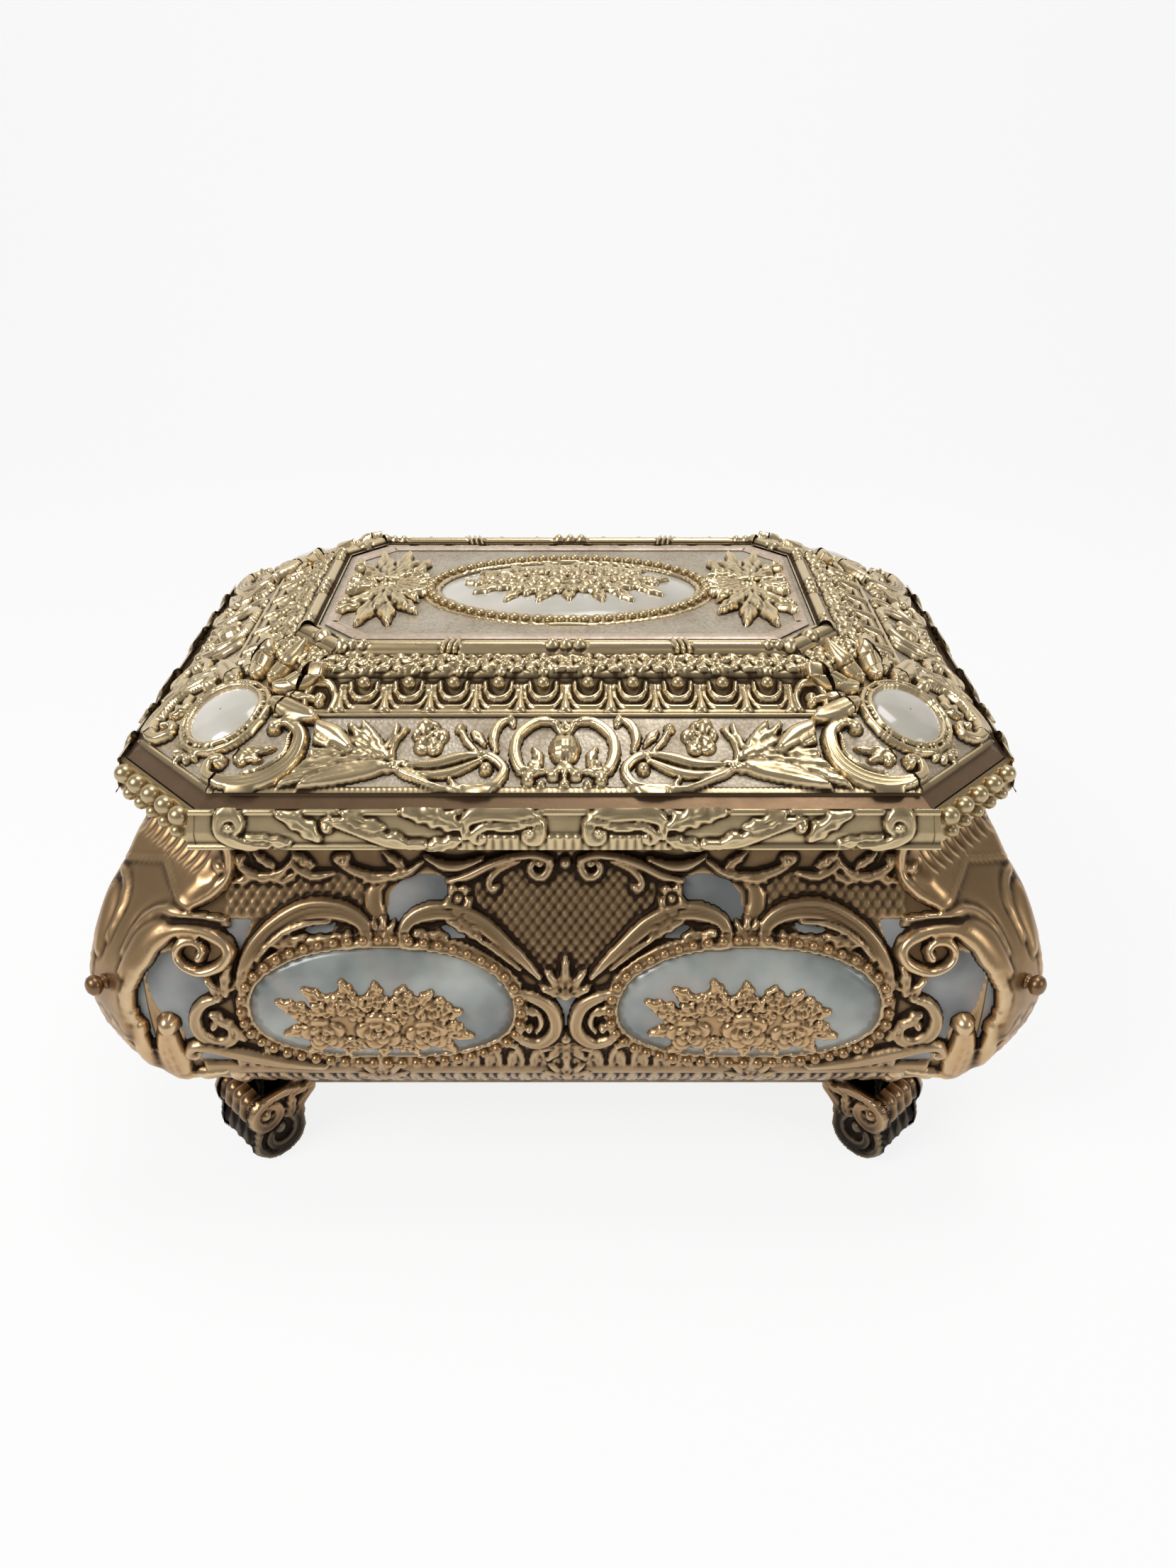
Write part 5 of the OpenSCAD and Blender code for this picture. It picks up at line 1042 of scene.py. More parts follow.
def drawStrap(art, leg, middle):
    x, z = art["x"], art["y"]
    v = (middle - x) / (leg / 2)
    # Hollow fluted collar, its edge lines meeting in a point
    collar = insidePolygon(x, z, [
        (58.8, 79.4), (58.8, 72.5), (60, 70.4), (62, 69), (66, 67), (69.5, 69.2), (73, 71.5), (90, 72.6),
        (90, 79.4)])
    hollow = 0.75 + 1.5 * ((z - 75.4) / 4.6) ** 2
    flutes = 0.55 * np.abs(np.cos(math.pi * 4.5 * v)) ** 0.7
    clear(art, collar, np.clip(hollow + flutes, 0, 2.4))
    fillShape(art, (z > 79.2) & (v < 1.12), 1.5)
    # Plain strap that runs down the corner
    body = insidePolygon(x, z, [
        (66, 67), (73, 71.5), (90, 72.6), (90, 42), (77.6, 42), (77, 46.4), (77.8, 51), (76.2, 55), (73.4, 60),
        (69, 65)])
    clear(art, body, 2.15)
    # Painted shade: the strap's tone rises towards its top, so the strap darkens upwards
    art["tone"] = np.where(body, 0.25 + 0.3 * np.clip((z - 58) / 14, 0, 1), art["tone"])
    rods(art, ([(58.9, 79), (58.7, 74.8), (59.6, 71.4), (62, 69), (66, 67)], [0.8, 0.9, 0.9, 0.8, 0.6], 2.3),
         ([(66, 67), (69.5, 69.1), (73, 71.2), (80, 72.4), (90, 72.6)], [0.6, 0.8, 0.8, 0.8, 0.8], 2.6))
    ball(art, 60.4, 73.6, 1.1, 2.2)
    rods(art, ([(71.2, 63.4), (73, 59.4), (76, 55.6), (77.8, 51.4), (77.2, 47)], [0.6, 0.7, 0.7, 0.7, 0.6], 2.5))
    # Ridge, a low rod painted dark as the shadow under it, and the broad band that runs into the volute
    rods(art, ([(59.6, 64.4), (66, 65), (70, 64.4), (75, 61)], [0.6, 0.9, 0.9, 0.6], 1.4), tone=1.0)
    rods(art, ([(59.6, 65.4), (66, 66), (70, 65.4), (75, 62.2), (78, 57.6)], [0.4, 0.55, 0.6, 0.6, 0.5], 2.7))
    volute = [(78, 55), (74, 60.5), (70, 63.1), (66, 63.5), (61.4, 62.4), (59.4, 60.4), (60.6, 58), (64.5, 56.7),
              (67.8, 58), (68.7, 60), (67.5, 61.6), (65.2, 61.7), (63.8, 60.4), (64.6, 59.2)]
    scroll(art, volute, [0.8, 1.6, 2.0, 1.8, 1.5, 1.4, 1.4, 1.3, 1.2, 1.1, 1.0, 1.0, 0.9, 0.8], 2.7, False,
           eye=1.2)
    # Smooth petal below the knob with its bulb, and the band beside it
    rods(art, ([(76.9, 46), (77.2, 41), (76.9, 36), (76, 30)], [1.0, 1.4, 1.5, 1.2], 2.4),
         ([(72.2, 45.6), (72.9, 41), (73, 36), (73, 30)], [1.7, 2.6, 2.9, 2.4], 2.2),
         ([(72.4, 44.8), (73, 41), (73, 36), (73, 31)], [0.3, 0.4, 0.4, 0.3], 2.5))
    ball(art, 72.0, 45.8, 2.2, 2.9)
    leaves(art, ((81, 46), 262, 17, 3.4, -10, 5, 2.4), ((76, 31), 265, 9, 3.0, 10, 4, 1.8),
           ((70, 29), 255, 8, 2.4, -20, 3, 1.5), ((64, 30), 262, 8, 2.2, 0, 3, 1.2))
    rods(art, ([(78, 31.6), (72, 31), (64, 32.6)], [1.2, 1.1, 0.8], 2.0))
    fillShape(art, (z < 27) & (v < 1.1), 0.6)
    rods(art, ([(86, 50), (86, 40), (84, 32), (80, 24)], [0.7, 0.9, 0.9, 0.5], 2.9))


def makeStrap(sx, sy):
    points, normals, art, leg, middle = cornerSheet(strap["rows"], strap["columns"])
    drawStrap(art, leg, middle)
    height = np.where(art["h"] > -0.3, softened(np.maximum(art["h"], -0.4), 2), art["h"])
    mirror = np.array([sx, -sy, 1.0])
    node, label = cornerLabels(sx, sy)
    relief = reliefGrid(points * mirror, normals * mirror, height, tone=art["tone"])
    joinedPiece("cornerStrap" + label, [relief], "gilt", "casket", "gilt_casting", "corner_scroll_" + node)


for sx, sy in cornerSigns:
    makeStrap(sx, sy)


# Rounded octagon: a few points round each of its eight corners
def octagonLoop(halfWidth, halfDepth, leg, turn, count):
    right, near = halfWidth - leg, halfDepth - leg
    corners = [
        (right, -halfDepth), (halfWidth, -near), (halfWidth, near), (right, halfDepth),
        (-right, halfDepth), (-halfWidth, near), (-halfWidth, -near), (-right, -halfDepth),
    ]
    corners = [np.array(corner) for corner in corners]
    out = []
    for i, corner in enumerate(corners):
        a, b = (corner + unitRows(beside - corner) * turn for beside in (corners[i - 1], corners[(i + 1) % 8]))
        for t in np.linspace(0, 1, count):
            out.append((1 - t) ** 2 * a + 2 * t * (1 - t) * corner + t**2 * b)
    return np.array(out)


def atHeight(loop, z):
    return np.column_stack([loop, np.full(len(loop), float(z))])


# Pearl sheet behind the castings, with softly turned corners
sheet = {"rows": 60, "turn": 2.4, "turnPoints": 6, "thinned": (0.994, 0.992, 1.0)}


def makePearlSheet():
    outer = []
    for z in np.linspace(casket["baseZ"] + 0.2, casket["castingTop"], sheet["rows"]):
        sizes = (float(size) for size in wallSizes(z))
        outer.append(atHeight(octagonLoop(*sizes, sheet["turn"], sheet["turnPoints"]), z))
    outer = np.array(outer)
    grid = np.concatenate([outer, outer[::-1] * np.array(sheet["thinned"])])
    faces = ringFaces(*grid.shape[:2], round=True)
    piece = meshPiece("pearlSheet", grid, faces, finishes["pearlSheet"], {})
    settle(piece, "casket", "pearl_sheet", "pearl_ground")


makePearlSheet()
print("straps and pearl sheet made")


# Turned knobs on the straps: the profile is radius as a share of the knob's, and height
knob = {
    "z": 52.56, "radius": 1.9, "stand": 0.6, "turns": 28, "tilt": 0.12,
    "profile": [(1, -1), (1.05, 0.3), (0.9, 0.7), (0.55, 1.0), (0.5, 1.4), (0.78, 1.7), (0.8, 2.0), (0.55, 2.3),
                (0.72, 2.6), (0.98, 3.2), (1.02, 3.8), (0.9, 4.5), (0.55, 5.0)],
    "tip": 5.25,
}


def latheMesh(name, centre, axis, material):
    turns, profile = knob["turns"], knob["profile"]
    axis = unitRows(np.array(axis, float))
    side = unitRows(np.cross(axis, [0, 0, 1.0]))
    up = np.cross(side, axis)
    points = [np.array(centre) + axis * profile[0][1]]
    for share, height in profile:
        for a in np.linspace(0, 2 * math.pi, turns, endpoint=False):
            around = knob["radius"] * share * (math.cos(a) * side + math.sin(a) * up)
            points.append(np.array(centre) + axis * height + around)
    points.append(np.array(centre) + axis * knob["tip"])
    last = 1 + (len(profile) - 1) * turns
    faces = [(0, 1 + (k + 1) % turns, 1 + k) for k in range(turns)]
    faces += ringFaces(len(profile), turns, 1).tolist()
    faces += [(last + k, last + (k + 1) % turns, last + turns) for k in range(turns)]
    return listedPiece(name, np.array(points), faces, material)


def makeKnobs():
    diagonal = neckDiagonal + cornerBulge * float(swell(knob["z"])) + knob["stand"]
    reach = diagonal / rootTwo - neckDiagonal / rootTwo
    middle = neckWidth - casket["neckCut"] / 2
    made = []
    for sx, sy in cornerSigns:
        centre = (sx * (middle + reach), -sy * (neckSkew - middle - reach), knob["z"])
        made.append(latheMesh("knob", centre, (sx, sy, knob["tilt"]), finishes["footGilt"]))
    bpy.ops.object.select_all(action="DESELECT")
    for piece in made:
        piece.select_set(True)
    bpy.context.view_layer.objects.active = made[0]
    bpy.ops.object.join()
    made[0].name = "cornerKnobs"
    settle(made[0], "casket", "gilt_casting", "corner_knobs")


makeKnobs()
print("knobs made")


# Scroll feet: a ribbon round the profile and two carved flanks
foot = {
    "studX": 55.5, "studY": 40.5, "width": 14.0, "toeRadius": 6.2, "toeReach": 12.6, "kneeRadius": 4.4,
    "kneeReach": 14.2, "step": 0.3, "ribbonStep": 0.45, "ribbonColumns": 41, "clearance": 0.02, "topGap": 0.05,
    "darkBelow": 12.8,
}


def arc(cx, cy, radius, a, b, count):
    angles = [math.radians(a + (b - a) * i / count) for i in range(count + 1)]
    return [(cx + radius * math.cos(angle), cy + radius * math.sin(angle)) for angle in angles]


def footOutline():
    h, toe, r = casket["footHeight"], foot["toeReach"], foot["toeRadius"]
    knee, bend = foot["kneeReach"], foot["kneeRadius"]
    line = [(-4, h), (-4, h - 2.2), (1.6, h - 3.6), (4.6, h - 6.4)] + arc(toe, r - 0.5, r, 168, 348, 20)
    line += [(toe + 5.2, 8.6)] + arc(knee, h - bend, bend, -40, 70, 8) + [(knee + 0.4, h)]
    return np.array(line)


def makeFoot(sx, sy):
    reach, across = np.array([sx, sy, 0.0]) / rootTwo, np.array([-sy, sx, 0.0]) / rootTwo
    base, upward = np.array([sx * foot["studX"], sy * foot["studY"], 0.0]), np.array([0, 0, 1.0])
    lowest, highest = foot["clearance"], casket["footHeight"] - foot["topGap"]
    outline = curveThrough(footOutline(), 4)
    steps = np.concatenate([[0], np.cumsum(np.linalg.norm(np.diff(outline, axis=0), axis=1))])
    count = int(steps[-1] / foot["ribbonStep"])
    even = np.linspace(0, steps[-1], count)
    line = np.column_stack([np.interp(even, steps, outline[:, i]) for i in range(2)])
    tangent = unitRows(np.gradient(line, axis=0))
    facing = np.column_stack([tangent[:, 1], -tangent[:, 0]])
    w = np.linspace(-1, 1, foot["ribbonColumns"])[None, :]
    half = foot["width"] / 2
    share = np.linspace(0, 1, count)[:, None]
    profile = 0.5 * np.cos(math.pi * 2.5 * w) ** 2 - 1.3 * np.abs(w) ** 6 + 0.2 * np.cos(share * 60)
    height = np.clip(profile, -1.6, 0.5) - 0.5
    spread = half * w * (1 + 0.08 * np.cos(share * 9))
    ribbon = line[:, None, :] + facing[:, None, :] * height[..., None]
    ribbon[..., 1] = np.clip(ribbon[..., 1], lowest, highest)
    points = base + ribbon[..., :1] * reach + spread[..., None] * across + ribbon[..., 1:] * upward
    normals = facing[:, None, :1] * reach + 0 * spread[..., None] + facing[:, None, 1:] * upward
    parts = [reliefGrid(points, normals, np.zeros(height.shape))]
    # Cavity from the ribbon's profile: painted shade in its grooves, painted highlight on its ridges
    parts[0]["cavity"] = np.clip((0.25 - (height + 0.5)) * 0.8, -0.5, 1).ravel()
    # Flanks: scroll of the toe, knee volute and small leaves
    art = squareArt(-5, 20.4, -0.6, casket["footHeight"] + 0.3, foot["step"])
    r, up = art["x"], art["y"]
    inside = insidePolygon(r, up, outline)
    fillShape(art, inside, 0.0)
    toe = [(4, 12.6), (7.4, 9.6), (6.9, 5.4), (9, 1.9), (12.6, 0.5), (17, 2.4), (18.2, 6.4), (16, 9.8),
           (12.4, 10.8)]
    scroll(art, curled(toe, (12.6, 5.7), 1.0), [1.0, 1.4, 1.5, 1.5, 1.4, 1.2, 1.0], 1.1, eye=1.4)
    knee = [(6, 13.6), (10.4, 15.6), (14.8, 15.6), (17.6, 12.6), (16, 9.6)]
    scroll(art, curled(knee, (14.2, 12.2), 0.8), [0.9, 1.4, 1.5, 1.2, 0.9], 1.3, eye=1.3)
    leaves(art, ((10, 8.6), 100, 6, 1.6, -40, 3, 1.2), ((2, 14.6), -10, 7, 1.5, 20, 3, 1.0))
    carved = np.where(inside, np.maximum(art["h"], 0.0), -1) - 0.7
    middle = base + r[..., None] * reach + np.clip(up, lowest, highest)[..., None] * upward
    for side in (-1, 1):
        flank = middle + side * half * across
        outward = np.broadcast_to(across * side, flank.shape)
        parts.append(reliefGrid(flank, outward, carved, cut=-0.9, floor=-1.9, tone=art["tone"]))
    # Painted shade: the feet darken towards the floor, below darkBelow
    for part in parts:
        paintedLowShade = 1.7 * np.clip((foot["darkBelow"] - part["points"][:, 2]) / 6, 0, 1)
        part["tone"] = np.maximum(part["tone"], paintedLowShade)
    node, label = cornerLabels(sx, sy)
    joinedPiece("scrollFoot" + label, parts, "footGilt", "casket", "dark_gilt", "foot_" + node)


for sx, sy in cornerSigns:
    makeFoot(sx, sy)
print("feet made")


# Lid: silvered ground on all eight slopes, then the gilt relief of each band
lidPanel = {"step": 0.3, "inner": 16.6, "outer": 29.9, "middle": 23.25, "groundInner": 16.2, "groundOuter": 30.0}


def bandArt(half, inner, outer, step, rate=1.0):
    rows = int(round((outer - inner) * 1.13 * rate / step)) + 1
    out = np.linspace(outer, inner, rows)
    columns = int(round(2 * np.max(half(np.array([inner, outer]))) / step)) + 1
    return np.linspace(-1, 1, columns)[None, :] * half(out)[:, None], np.repeat(out[:, None], columns, axis=1)


def overSides(inner, outer, step, draw, chosen=sides, **relief):
    parts = []
    for side in chosen:
        wide = side in sides[:2]
        halfTop = topWidth if wide else topDepth
        x, out = bandArt(lambda o: sideHalf(halfTop, o), inner, outer, step)
        art = newArt(np.abs(x), -out)
        draw(art, wide, halfTop)
        parts.append(reliefGrid(*onLid(side, x, out), art["h"], tone=art["tone"], **relief))
    return parts


def overCorners(inner, outer, step, draw, **relief):
    parts = []
    for sx, sy in cornerSigns:
        x, out = bandArt(cornerHalf, inner, outer, step, cornerRate)
        art = newArt(x, -out * cornerRate)
        draw(art)
        parts.append(reliefGrid(*onLidCorner(sx, sy, x, out), art["h"], tone=art["tone"], **relief))
    return parts


def flatGround(art, *rest):
    art["h"][:] = 0.0


groundBand = lidPanel["groundInner"], lidPanel["groundOuter"], 1.1, flatGround
joinedPiece("silverSlopes", overSides(*groundBand) + overCorners(*groundBand), "silver", "lid", "silvered_ground")


# A side's coordinates turned about the mitre into those of the corner beside it
def unfolded(x, y, halfTop):
    across = mitreRate / rootTwo
    along = np.array([1 - mitreRate, -1]) / math.hypot(1 - mitreRate, 1)
    cornerAlong = np.array([across, -cornerRate]) / math.hypot(across, cornerRate)
    dx = x - sideHalf(halfTop, 0)
    a, b = dx * along[0] + y * along[1], dx * along[1] - y * along[0]
    return cornerHalf(0) + a * cornerAlong[0] - b * cornerAlong[1], a * cornerAlong[1] + b * cornerAlong[0]


def drawPanel(art, wide, halfTop):
    across, run = unfolded(art["x"], art["y"], halfTop)
    art["y"] = art["y"] + lidPanel["middle"]
    x, y = art["x"], art["y"]
    # Two open brackets round a pineapple, with small volutes below
    line = [(1.4, 5.4), (3.4, 5.7), (5.6, 5.2), (7.9, 3.2), (8.6, 0.2), (7.6, -2.8), (5.6, -3.6)]
    scroll(art, curled(line, (5.6, -2.4), 0.5), [0.6, 0.8, 0.9, 1.0, 1.0, 0.9, 0.7], 1.8)
    rods(art, ([(3.4, -3.2), (5.2, -3.6), (6.8, -4.2)], [0.5, 0.7, 0.5], 1.5))
    for row in (
        (1.5, 5.2, 0.9, 1.7), (6.2, -4.8, 1.1, 1.7), (1.9, -3.8, 1.2, 1.7), (0, -5.3, 0.9, 1.5),
        (4, -5.4, 0.8, 1.3), (0, 0.7, 3.0, 2.4, 0.9),
    ):
        ball(art, *row)
    fruit = np.hypot(x / 0.9, y - 0.7) < 2.8
    hatched = 0.35 * (0.5 + 0.5 * np.cos(2.9 * (x + y)) * np.cos(2.9 * (x - y)))
    clear(art, fruit, art["h"] - hatched)
    fan(art, (0, 3.0), ((55, 3.2), (90, 3.2), (125, 3.2)), 0.9, 0, 1.5)
    fan(art, (0, -1.6), ((235, 3.4), (270, 3.4), (305, 3.4)), 1.0, 2, 1.5)
    leaf(art, (5.6, 1.2), 250, 4.4, 1.1, 40, 2, 1.3)
    scroll(art, [(9.4, 6.2), (11.4, 5.2), (12.4, 2.8), (11.9, 0.4)], [0.4, 0.8, 0.9, 0.5], 1.5)
    line = [(16.4, -0.45), (12.9, -0.6), (10.4, -2.8), (11.7, -5.4), (14.4, -6.2), (17.9, -6.1), (19.4, -4.8)]
    scroll(art, line, [0.5, 0.8, 0.9, 0.9, 0.8, 0.7, 0.5], 1.6)
    ball(art, 13.4, -2.8, 1.2, 1.9)
    leaf(art, (8.8, 4.6), 70, 2.8, 1.0, 0, 2, 1.2)
    if wide:
        rods(art, ([(14.4, -0.2), (18.4, -0.8), (22.4, -1.9), (27.4, -2.2)], [0.6, 1.0, 1.0, 0.5], 1.5),
             ([(14.4, -1.4), (19.4, -3.4), (24, -3.9), (27.4, -3.0)], [0.5, 0.9, 0.9, 0.5], 1.4),
             ([(27.6, 4.2), (29.4, 1.6), (29.6, -1.2), (27.9, -3.4), (24.4, -4.9), (21.4, -6.0), (18, -6.3)],
              [0.4, 0.5, 0.6, 0.6, 0.6, 0.5, 0.4], 1.6))
        rose(art, 23.4, 2.7, 3.3, 2.0, 0.4)
        ball(art, 24.4, 5.0, 1.4, 1.7)
        ball(art, 18.2, 4.4, 1.0, 1.7)
        rods(art, ([(18.2, 4.4), (17, 2.2), (15.2, 0.2)], [0.5, 0.6, 0.4], 1.4))
        leaf(art, (16.4, 4.2), 228, 4.2, 1.1, 20, 2, 1.3)
        tips, root = ((35.4, 6.0), (37.8, 5.6), (42.0, 4.8), (44.4, 2.8), (46.4, 0.4), (48.6, -1.6), (51.2, -3.6),
                      (50.6, -5.9), (45.6, -6.3)), (29.4, -2.4)
    else:
        rose(art, 19.4, 2.9, 2.6, 1.9, 0.4)
        tips, root = ((22.6, 5.6), (25.4, 4.4), (27.6, 2.2), (29.6, -0.4), (31, -3.0), (30.6, -5.6),
                      (26, -6.2)), (18.4, -2.8)
    for i, tip in enumerate(tips):
        leafTo(art, root, tip, 1.9, 24 - 5 * i, 3 * (i % 2), 1.8)
    if wide:
        rods(art, ([(37.2, 0.6), (40.0, 3.0), (42.6, 4.2)], [1.0, 1.9, 1.5], 2.6))
        leaves(art, ((30.6, -3.4), 150, 4.2, 1.2, 30, 2, 1.3), ((31, 0.4), 110, 5.4, 1.2, -30, 2, 1.3))
    # Clear the ground that the corner cartouche takes
    clear(art, insidePolygon(across, run, [
        (8, -15.6), (15.6, -15.4), (19.4, -20), (19.4, -27), (16.8, -32.6), (13, -36.6), (-20, -36.6), (-20, -12),
        (8, -12)]))
    # Beaded line along the bottom edge
    scroll(art, [(0, -6.55), (66, -6.55)], [0.28, 0.28], 0.5, False, False)
    fillShape(art, np.abs(y + 6.0) < 0.4, 0.15 + 0.4 * np.abs(np.cos(math.pi * x / 0.9)))


for side in sides:
    parts = overSides(
        lidPanel["inner"], lidPanel["outer"], lidPanel["step"], drawPanel, chosen=(side,), cut=-0.05, floor=-0.1)
    lidGilt("slopeScrolls" + side.capitalize(), parts, "lid_panel_" + side)


# Corner cartouches with oval cabochons: x runs across the corner, y is minus the run down it
cartouche = {
    "out": 20.1, "cabA": 6.6, "cabB": 6.2, "cabFoot": 0.55, "cabRise": 2.1, "inner": 3.9, "outer": 29.9,
    "step": 0.3,
}


def drawCartouche(art):
    x, y, middle = art["x"], art["y"], -cartouche["out"] * cornerRate
    line = [(10.6, -20.4), (11.8, -18.4), (15.1, -18.4), (17.5, -21.9), (17.3, -26.3), (15.1, -30.4),
            (11.8, -33.2), (9.1, -33.6), (7.4, -32.2)]
    scroll(art, curled(line, (8.8, -31.2), 0.6),
           [0.6, 1.1, 1.4, 1.5, 1.6, 1.6, 1.5, 1.3, 1.0, 0.8, 0.6], 2.1, eye=0.8)
    rods(art, ([(13.4, -19.6), (15.9, -22.6), (15.6, -26.2), (13.6, -29.8)], [0.2, 0.3, 0.3, 0.2], 2.3))
    ball(art, 10.7, -20.7, 1.3, 2.2)
    for tip in ((13.8, -22.8), (14.0, -25.8), (12.4, -28.8)):
        leafTo(art, (9.6, -27.6), tip, 1.3, 20, 2, 1.4)
    fan(art, (0, -30.4), ((270, 4.4), (240, 4.4), (300, 4.4), (215, 4.2), (325, 4.2)), 1.5, 2, 1.5)
    # Three large pointed leaves laid inwards over the corner of the egg band
    leaves(art, ((5.6, -17.6), 18, 10.4, 2.5, 20, 0, 2.3), ((3.0, -15.6), 56, 10.0, 2.6, 10, 0, 2.6),
           ((0, -14.6), 90, 9.6, 2.3, 0, 0, 2.4), ((6.4, -15.2), 34, 6.4, 1.3, 0, 2, 1.6))
    scroll(art, [(0, -35.1), (16, -35.1)], [0.5, 0.5], 0.9, False, False)
    place = 0, middle, cartouche["cabA"], cartouche["cabB"]
    ovalBand(art, *place, -0.2, 0.9, 2.1, 2)
    ovalBand(art, *place, 1.0, 2.2, 1.7, 2)
    clear(art, ovalGap(x, y, *place, 2) < -0.3)


# The side sheets carry the cartouche on past the mitre
def drawCartoucheSide(art, wide, halfTop):
    art["x"], art["y"] = unfolded(art["x"], art["y"], halfTop)
    drawCartouche(art)


def drawCartoucheCorner(art):
    art["x"] = np.abs(art["x"])
    drawCartouche(art)


cartoucheBand = cartouche["inner"], cartouche["outer"], cartouche["step"]
cartouches = overCorners(*cartoucheBand, drawCartoucheCorner, cut=-0.05, floor=-0.1)
cartouches += overSides(*cartoucheBand, drawCartoucheSide, cut=-0.05, floor=-0.1)
lidGilt("cornerCartouches", cartouches, "corner_cartouches")


def cabochonSeat(out):
    return lidDrop(cartouche["out"]) + 0.5 * (out - cartouche["out"])


def makeCabochons():
    r, t = np.meshgrid(np.linspace(0.02, 1, 14), np.linspace(0, 2 * math.pi, 49), indexing="ij")
    across = r * cartouche["cabA"] * np.cos(t)
    out = cartouche["out"] + r * cartouche["cabB"] / cornerRate * np.sin(t)
    height = cartouche["cabFoot"] + cartouche["cabRise"] * np.sqrt(np.clip(1 - 0.96 * r**2, 0, 1))
    parts = [reliefGrid(*onLidCorner(sx, sy, across, out, cabochonSeat), height) for sx, sy in cornerSigns]
    joinedPiece("cornerCabochons", parts, "cabochon", "lid", "lid_cabochon", "corner_cabochons")


makeCabochons()


# Garland and egg bands
bands = {
    "step": 0.28, "garlandOut": 6.1, "garlandInner": 3.75, "garlandOuter": 8.6, "eggOuter": 16.6, "eggPitch": 8.0,
    "eggOut": 9.5, "eggRadius": 1.25, "eggLift": 0.55, "frameOut": 12.2,
}


def drawGarland(art, wide=None, halfTop=None):
    art["y"] = art["y"] + bands["garlandOut"]
    art["h"][:] = 0.2 + 0.7 * np.sqrt(np.clip(1 - (art["y"] / 2.5) ** 2, 0, 1))
    art["tone"][:] = 0.5
    for i in range(-1, 8 if wide else 5):
        cx = bands["eggPitch"] * i + 3.5
        for angle in (35, 145, 215, 325):
            leaf(art, (cx + 4, 0), angle, 3.0, 1.2, 20, 0, 1.5, tone=0.0)
        ball(art, cx + 4.0, 0, 0.9, 1.8, tone=0.0)
        rose(art, cx, 0, 2.4, 2.1, turn=i, tone=0.0)


def drawGarlandCorner(art):
    art["y"] = art["y"] / cornerRate
    drawGarland(art)


# Eggs hang in two nested frames open at the top, with a bar between each two, up to a hood at the corner
def drawEggs(art, wide, halfTop):
    art["y"] = art["y"] + bands["frameOut"]
    y, count = art["y"], 5 if wide else 2
    art["h"][:] = 0.0
    art["tone"][:] = np.where(y > -2.4, 0.8, 0.1)
    drawBar(art, 0)
    for i in range(count):
        cx = bands["eggPitch"] * (i + 0.5)
        outer = [(-3.3, 2.4), (-3.2, 0.4), (-2.8, -0.9), (-1.9, -2.0), (0, -2.1), (1.9, -2.0), (2.8, -0.9),
                 (3.2, 0.4), (3.3, 2.4)]
        rods(art, ([(cx + dx, dy) for dx, dy in outer], [0.4] * 5, 0.95), tone=0.1)
        inner = [(-2.4, 2.8), (-2.1, 1.1), (-1.2, -0.1), (0, -0.5), (1.2, -0.1), (2.1, 1.1), (2.4, 2.8)]
        rods(art, ([(cx + dx, dy) for dx, dy in inner], [0.35, 0.5, 0.6, 0.5, 0.35], 1.3), tone=0.0)
        drawBar(art, cx + 4)
    drawHood(art, bands["eggPitch"] * count + 3.6)
    fillShape(art, y < -2.6, 0.45)
    rail(art, -4.0, 0.3, 0.9, tone=0.0)


def drawBar(art, cx):
    rods(art, ([(cx, 2.2), (cx, -1.4), (cx, -2.7)], [0.45, 0.5, 1.0], 1.3), tone=0.0)


def drawHood(art, cx):
    line = [(-2.2, -3), (-2.6, 0), (-1.4, 2.6), (1.4, 2.8), (2.6, 0.6), (2.4, -2.6)]
    line = curled([(cx + dx, dy) for dx, dy in line], (cx + 1.4, -2.4), 0.3)
    rods(art, (line, [0.5, 0.6, 0.7, 0.7, 0.6, 0.5], 1.2), tone=0.0)
    ball(art, cx, -0.2, 1.1, 1.6, tone=0.0)
    ball(art, cx, -1.4, 0.9, 1.5, tone=0.0)


def flatGilt(art):
    art["h"][:] = 0.0
    art["tone"][:] = 0.3


garlandBand = bands["garlandInner"], bands["garlandOuter"], bands["step"]
garland = overSides(*garlandBand, drawGarland) + overCorners(*garlandBand, drawGarlandCorner)
lidGilt("garland", garland, "garland_band")
eggBand = bands["garlandOuter"], bands["eggOuter"]
eggFrames = overSides(*eggBand, bands["step"], drawEggs) + overCorners(*eggBand, 0.8, flatGilt)
lidGilt("eggFrames", eggFrames, "egg_band")


def makeEggs():
    lines = []
    for side in sides:
        reach = bands["eggPitch"] * ((10 if side in sides[:2] else 4) - 1) / 2
        points, normals = onLid(side, np.linspace(-reach, reach, 40), np.full(40, bands["eggOut"]))
        lines.append((points + normals * bands["eggLift"], normals, False))
    piece = beadPiece("eggs", lines, "paleGilt", Pitch=bands["eggPitch"] * mm * 0.9995,
                      Radius=bands["eggRadius"] * mm, Unevenness=0.0)
    settle(piece, "lid", "pale_gilt")


makeEggs()
print("lid bands made")


# Flat top: border of rods and knots, leaf sprays, centre cabochon in its beaded ring, bouquet
topField = {
    "z": 103.2, "sprayX": 37.0, "cabA": 26.0, "cabB": 14.5, "cabRise": 2.2, "step": 0.26, "borderOuter": 3.75,
    "beadPitch": 2.3, "beadRadius": 0.98, "beadDepth": 0.7,
}
